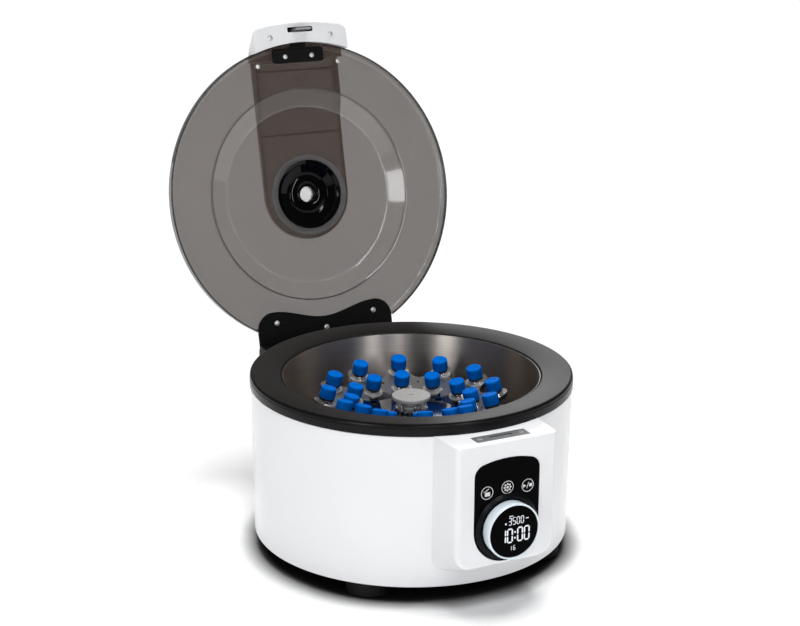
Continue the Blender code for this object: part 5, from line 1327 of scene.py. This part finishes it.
def make_hook():
    top = LID_Z - TOUCH
    low = top - HOOK_THICKNESS
    depth, middle = HOOK_PLATE[1] - HOOK_PLATE[0], -(HOOK_PLATE[0] + HOOK_PLATE[1]) / 2
    plate = slab(rounded(rectangle(2 * HOOK_PLATE_HALF, depth, 0, middle), 0.003, 6), low, top, 0.0004, 0.0006)
    show("hook_plate", plate, [BLACK], LID, "lid", "black_satin", ["latch_hook"], weighted=True)
    tab_front = -HOOK_LINE - TAB_THICKNESS / 2
    tab_back = tab_front + TAB_THICKNESS
    bend = HOOK_BEND - TOUCH
    side = [
        (-0.154, low + TOUCH), (-0.164, low + TOUCH), (-0.170, bend - TAB_THICKNESS),
        (tab_back, bend - TAB_THICKNESS), (tab_back, TAB_FOOT), (tab_front, TAB_FOOT), (tab_front, bend),
        (-0.169, bend), (-0.163, top - TOUCH), (-0.154, top - TOUCH),
    ]
    side = rounded(side, {3: 0.0008, 4: 0.0004, 5: 0.0004, 6: 0.0016}, 4)
    strip = slab(side, *span(TAB_HALF), 0.0003, 0.0003)
    window = box(
        span(0.004), (tab_front - OVERRUN, tab_back + OVERRUN), (TAB_FOOT + 0.0024, POD_CEILING - TOUCH + 0.0004)
    )
    mesh = carved(mesh_of("hook_tab", along_x(strip), [STRIKE, BLACK]), cuts=[window])
    for face in mesh.polygons:
        face.material_index = int(face.center.y > -HOOK_BLACK_REACH)
    piece("hook_tab", mesh, LID, "lid", "bright_steel", weighted=True)
    spots = [(-0.016, -0.1534, low), (0.016, -0.1534, low), (-0.0484, -0.145, LID_Z), (0.0484, -0.145, LID_Z)]
    add_screws("hook_screw", 0.0026, 0.0009, spots)


def saddle_outline(steps=24):
    """Two lobes with a dip between them, and a straight back."""
    lobe_x = SADDLE_HALF - SADDLE_LOBE
    lobe_y = SADDLE_LOBE_Y + SADDLE_LOBE
    outline = arc((-lobe_x, lobe_y), SADDLE_LOBE, 180, 270, steps)
    for step in range(1, 2 * steps):
        across = step / (2 * steps)
        depth = SADDLE_DIP * (1 - math.cos(2 * math.pi * across)) / 2
        outline.append((lobe_x * (2 * across - 1), SADDLE_LOBE_Y + depth))
    back = PIVOT_Y + BARREL_RADIUS
    outline += arc((lobe_x, lobe_y), SADDLE_LOBE, 270, 360, steps)
    return outline + [(SADDLE_HALF, back), (-SADDLE_HALF, back)]


def make_saddle():
    top = LID_Z - TOUCH
    low = top - SADDLE_THICKNESS
    back = PIVOT_Y + BARREL_RADIUS - 0.0005
    joins = [
        box(span(SADDLE_HALF - 0.0005), (back - 0.0105, back), (PIVOT_Z, top - 0.0005), 0.0008),
        along_x(cylinder(BARREL_RADIUS, *span(SADDLE_HALF - 0.0002), BOLD, 0.0006), PIVOT_Y, PIVOT_Z),
    ]
    bore = along_x(cylinder(PIN_RADIUS + TOUCH, *span(SADDLE_HALF + OVERRUN), SMALL), PIVOT_Y, PIVOT_Z)
    plate = slab(saddle_outline(), low, top, 0.0003, 0.0009)
    show("saddle_plate", plate, [BLACK], LID, "lid", "black_satin", ["hinge_saddle"], joins, [bore],
         weighted=True)
    spots = [(x, y, low) for x, y in ((-0.0592, 0.138), (0.0592, 0.138), (0.0, 0.1498))]
    add_screws("saddle_screw", 0.0030, 0.0012, spots)


def make_hinge():
    front = (DRUM_TOP_RADIUS**2 - HINGE_HALF**2) ** 0.5 - OVERRUN
    outline = [(front, HINGE_LOW), (HINGE_BACK, HINGE_LOW), (HINGE_BACK, HINGE_TOP), (front, HINGE_TOP)]
    body = slab(rounded(outline, {1: HINGE_CHAMFER, 2: HINGE_CHAMFER}, 8), *span(HINGE_HALF), 0.0015, 0.0015)
    wall = [(0, DRUM_Z), (DRUM_BOTTOM_RADIUS + TOUCH, DRUM_Z), (DRUM_TOP_RADIUS + TOUCH, DECK_Z), (0, DECK_Z)]
    reach = HINGE_HALF - HINGE_CHEEK
    cuts = [
        lathe(wall, FINE),
        box(span(SADDLE_HALF + TOUCH), (0, HINGE_BACK + OVERRUN), (HINGE_FLOOR, HINGE_TOP + OVERRUN)),
        along_x(cylinder(PIN_RADIUS + TOUCH, *span(reach), SMALL), PIVOT_Y, PIVOT_Z),
    ]
    show("hinge_mount", along_x(body), [BLACK], DRUM, "base", "black_satin", ["hinge_block"], cuts=cuts,
         weighted=True)
    pin = along_x(cylinder(PIN_RADIUS, *span(reach - TOUCH), SMALL, 0.0005), PIVOT_Y, PIVOT_Z)
    show("hinge_rod", pin, [BRIGHT], DRUM, "base", "bright_steel", ["hinge_pin"])


# Rear

def rear_box(x, z, width, height, inner, outer, edge=0.0):
    """A block on the rear boss, its outline drawn from behind and raised away from the drum."""
    outline = rectangle(width, height, -x, z)
    if edge:
        outline = rounded(outline, edge, 5)
    return placed(slab(outline, inner, outer, min(edge, 0.0006)), FACING_REAR)


def make_inlet():
    face = REAR_BOSS_FACE + TOUCH
    outer, back = face + INLET_FLANGE[2], face - INLET_BODY[2]
    flange = rear_box(INLET_X, REAR_MIDDLE, *INLET_FLANGE[:2], face, outer, 0.0015)
    body = rear_box(INLET_X, REAR_MIDDLE, *INLET_BODY[:2], back, face + 0.001)
    left, right = span((INLET_BODY[0] - 2 * INLET_WALL) / 2, -INLET_X)
    low, high = span((INLET_BODY[1] - 2 * INLET_WALL) / 2, REAR_MIDDLE)
    cut = INLET_CUT_CORNER
    outline = [
        (left, low), (right, low), (right, high - cut), (right - cut, high), (left + cut, high), (left, high - cut),
    ]
    socket = placed(slab(rounded(outline, 0.0006, 3), back + 0.003, outer + OVERRUN), FACING_REAR)
    show("inlet_shell", flange, [BLACK], DRUM, "base", "black_satin", ["mains_inlet"], [body], [socket],
         weighted=True)
    pins = [
        rear_box(INLET_X + dx, REAR_MIDDLE + dz, 0.002, 0.004, back + 0.0015, back + 0.014, 0.0004)
        for dx, dz in INLET_PINS
    ]
    show("inlet_pins", gathered(pins), [NICKEL], DRUM, "base")


def make_switch():
    half, face = SWITCH_HEIGHT / 2, SWITCH_DEPTH / 2
    outline = [(-face, -half), (face, -half), (face + SWITCH_RIDGE, 0), (face, half), (-face, half)]
    outline = rounded(outline, {1: 0.0006, 2: 0.010, 3: 0.0006}, 5)
    rocker = along_x(slab(outline, *span(SWITCH_WIDTH / 2), 0.0004, 0.0004))
    middle = at(SWITCH_X, REAR_BOSS_FACE - SWITCH_DEPTH / 2, REAR_MIDDLE)
    where = DRUM @ middle @ Matrix.Rotation(-SWITCH_TILT, 4, "X")
    show("switch_rocker_cap", rocker, [BLACK], where, "switch_rocker", "black_satin", ["power_switch"])


# Camera, floor and light

def make_camera():
    data = bpy.data.cameras.new("camera")
    data.sensor_width = SENSOR_WIDTH
    data.lens = FOCAL_PIXELS / IMAGE_WIDTH * SENSOR_WIDTH
    data.clip_start, data.clip_end = CAMERA_RANGE
    camera = bpy.data.objects.new("camera", data)
    camera.matrix_world = at(*CAMERA_PLACE) @ Matrix(CAMERA_AXES).transposed().to_4x4()
    bpy.context.scene.collection.objects.link(camera)
    bpy.context.scene.camera = camera


def make_floor():
    made = flat([rectangle(2 * FLOOR_HALF, 2 * FLOOR_HALF)])
    look = Look("floor_white", Roughness=0.9, Specular_IOR_Level=0.0)
    look.colour(look.noise(look.place(), 3.0), *FLOOR_PAINT)
    # Painted shadow: the floor's colour runs to near black where ambient occlusion finds something close above it
    near = look.node("ShaderNodeAmbientOcclusion", Distance=PAINTED_SHADOW_REACH)
    near.samples = 16
    reach = look.ranged(near.outputs["AO"], From_Min=PAINTED_SHADOW_LIMITS[0], From_Max=PAINTED_SHADOW_LIMITS[1])
    paint = look.mixed(look.math("POWER", reach, PAINTED_SHADOW_POWER), PAINTED_SHADOW_COLOUR, look.shown("Base Color"))
    look.put(look.shader.inputs["Base Color"], paint)
    floor = bpy.data.objects.new("floor", mesh_of("floor", made, [look.material]))
    bpy.context.scene.collection.objects.link(floor)


def make_world():
    """White where the camera sees it, and a dimmer even glow for everything it lights."""
    world = bpy.data.worlds.new("studio")
    bpy.context.scene.world = world
    world.use_nodes = True
    tree = world.node_tree
    ground = tree.nodes["Background"]
    ground.inputs["Color"].default_value = (1, 1, 1, 1)
    path = tree.nodes.new("ShaderNodeLightPath")
    below = None
    for ray, strength in WORLD_RAYS:
        mix = tree.nodes.new("ShaderNodeMapRange")
        mix.inputs["To Max"].default_value = strength
        mix.inputs["To Min"].default_value = WORLD_DIFFUSE
        if below:
            tree.links.new(below, mix.inputs["To Min"])
        tree.links.new(path.outputs[ray], mix.inputs["Value"])
        below = mix.outputs["Result"]
    tree.links.new(below, ground.inputs["Strength"])


def add_lamp(name, kind, strength, way):
    """A lamp that shines along way."""
    data = bpy.data.lights.new(name, kind)
    data.energy = strength
    lamp = bpy.data.objects.new(name, data)
    lamp.rotation_mode = "QUATERNION"
    lamp.rotation_quaternion = Vector(way).to_track_quat("-Z", "Y")
    bpy.context.scene.collection.objects.link(lamp)
    return lamp


def make_lights():
    sun = add_lamp("overhead", "SUN", SUN_STRENGTH, SUN_WAY)
    sun.data.angle = SUN_ANGLE
    sun.visible_glossy = False
    for name, target, azimuth, elevation, distance, size, watts, mirrored, lights in SOFTBOXES:
        turn, rise = math.radians(azimuth), math.radians(elevation)
        way = Vector((math.cos(turn) * math.cos(rise), math.sin(turn) * math.cos(rise), math.sin(rise)))
        lamp = add_lamp(name, "AREA", watts, -way)
        lamp.data.shape = "RECTANGLE"
        lamp.data.size, lamp.data.size_y = size
        lamp.location = Vector(target) + way * distance
        lamp.visible_glossy = mirrored
        lamp.visible_diffuse = lights


def finish_nodes():
    """Give the model's own nodes that stay in view their finished materials."""
    looks = {
        "base_plate": STRIKE, "motor_body": ZINC, "motor_damper": RUBBER, "motor_bearing": BRIGHT,
        "motor_shaft": BRIGHT, "shaft_boot": RUBBER, "control_board": GREEN, "power_board": GREEN,
        "latch_bolt": BRIGHT,
    }
    for name, material in looks.items():
        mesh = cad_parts[name].data
        mesh.materials.clear()
        mesh.materials.append(material)


for make in (
    make_camera, make_floor, make_world, make_lights, make_housing, make_feet, make_collar, make_bowl, make_rotor,
    make_tubes, make_nut, make_panel, make_keys, make_knob, make_strike, make_lid_shell, make_spine, make_port,
    make_handle, make_hook, make_saddle, make_hinge, make_inlet, make_switch, finish_nodes,
):
    make()
bpy.context.scene.view_settings.view_transform = "Standard"
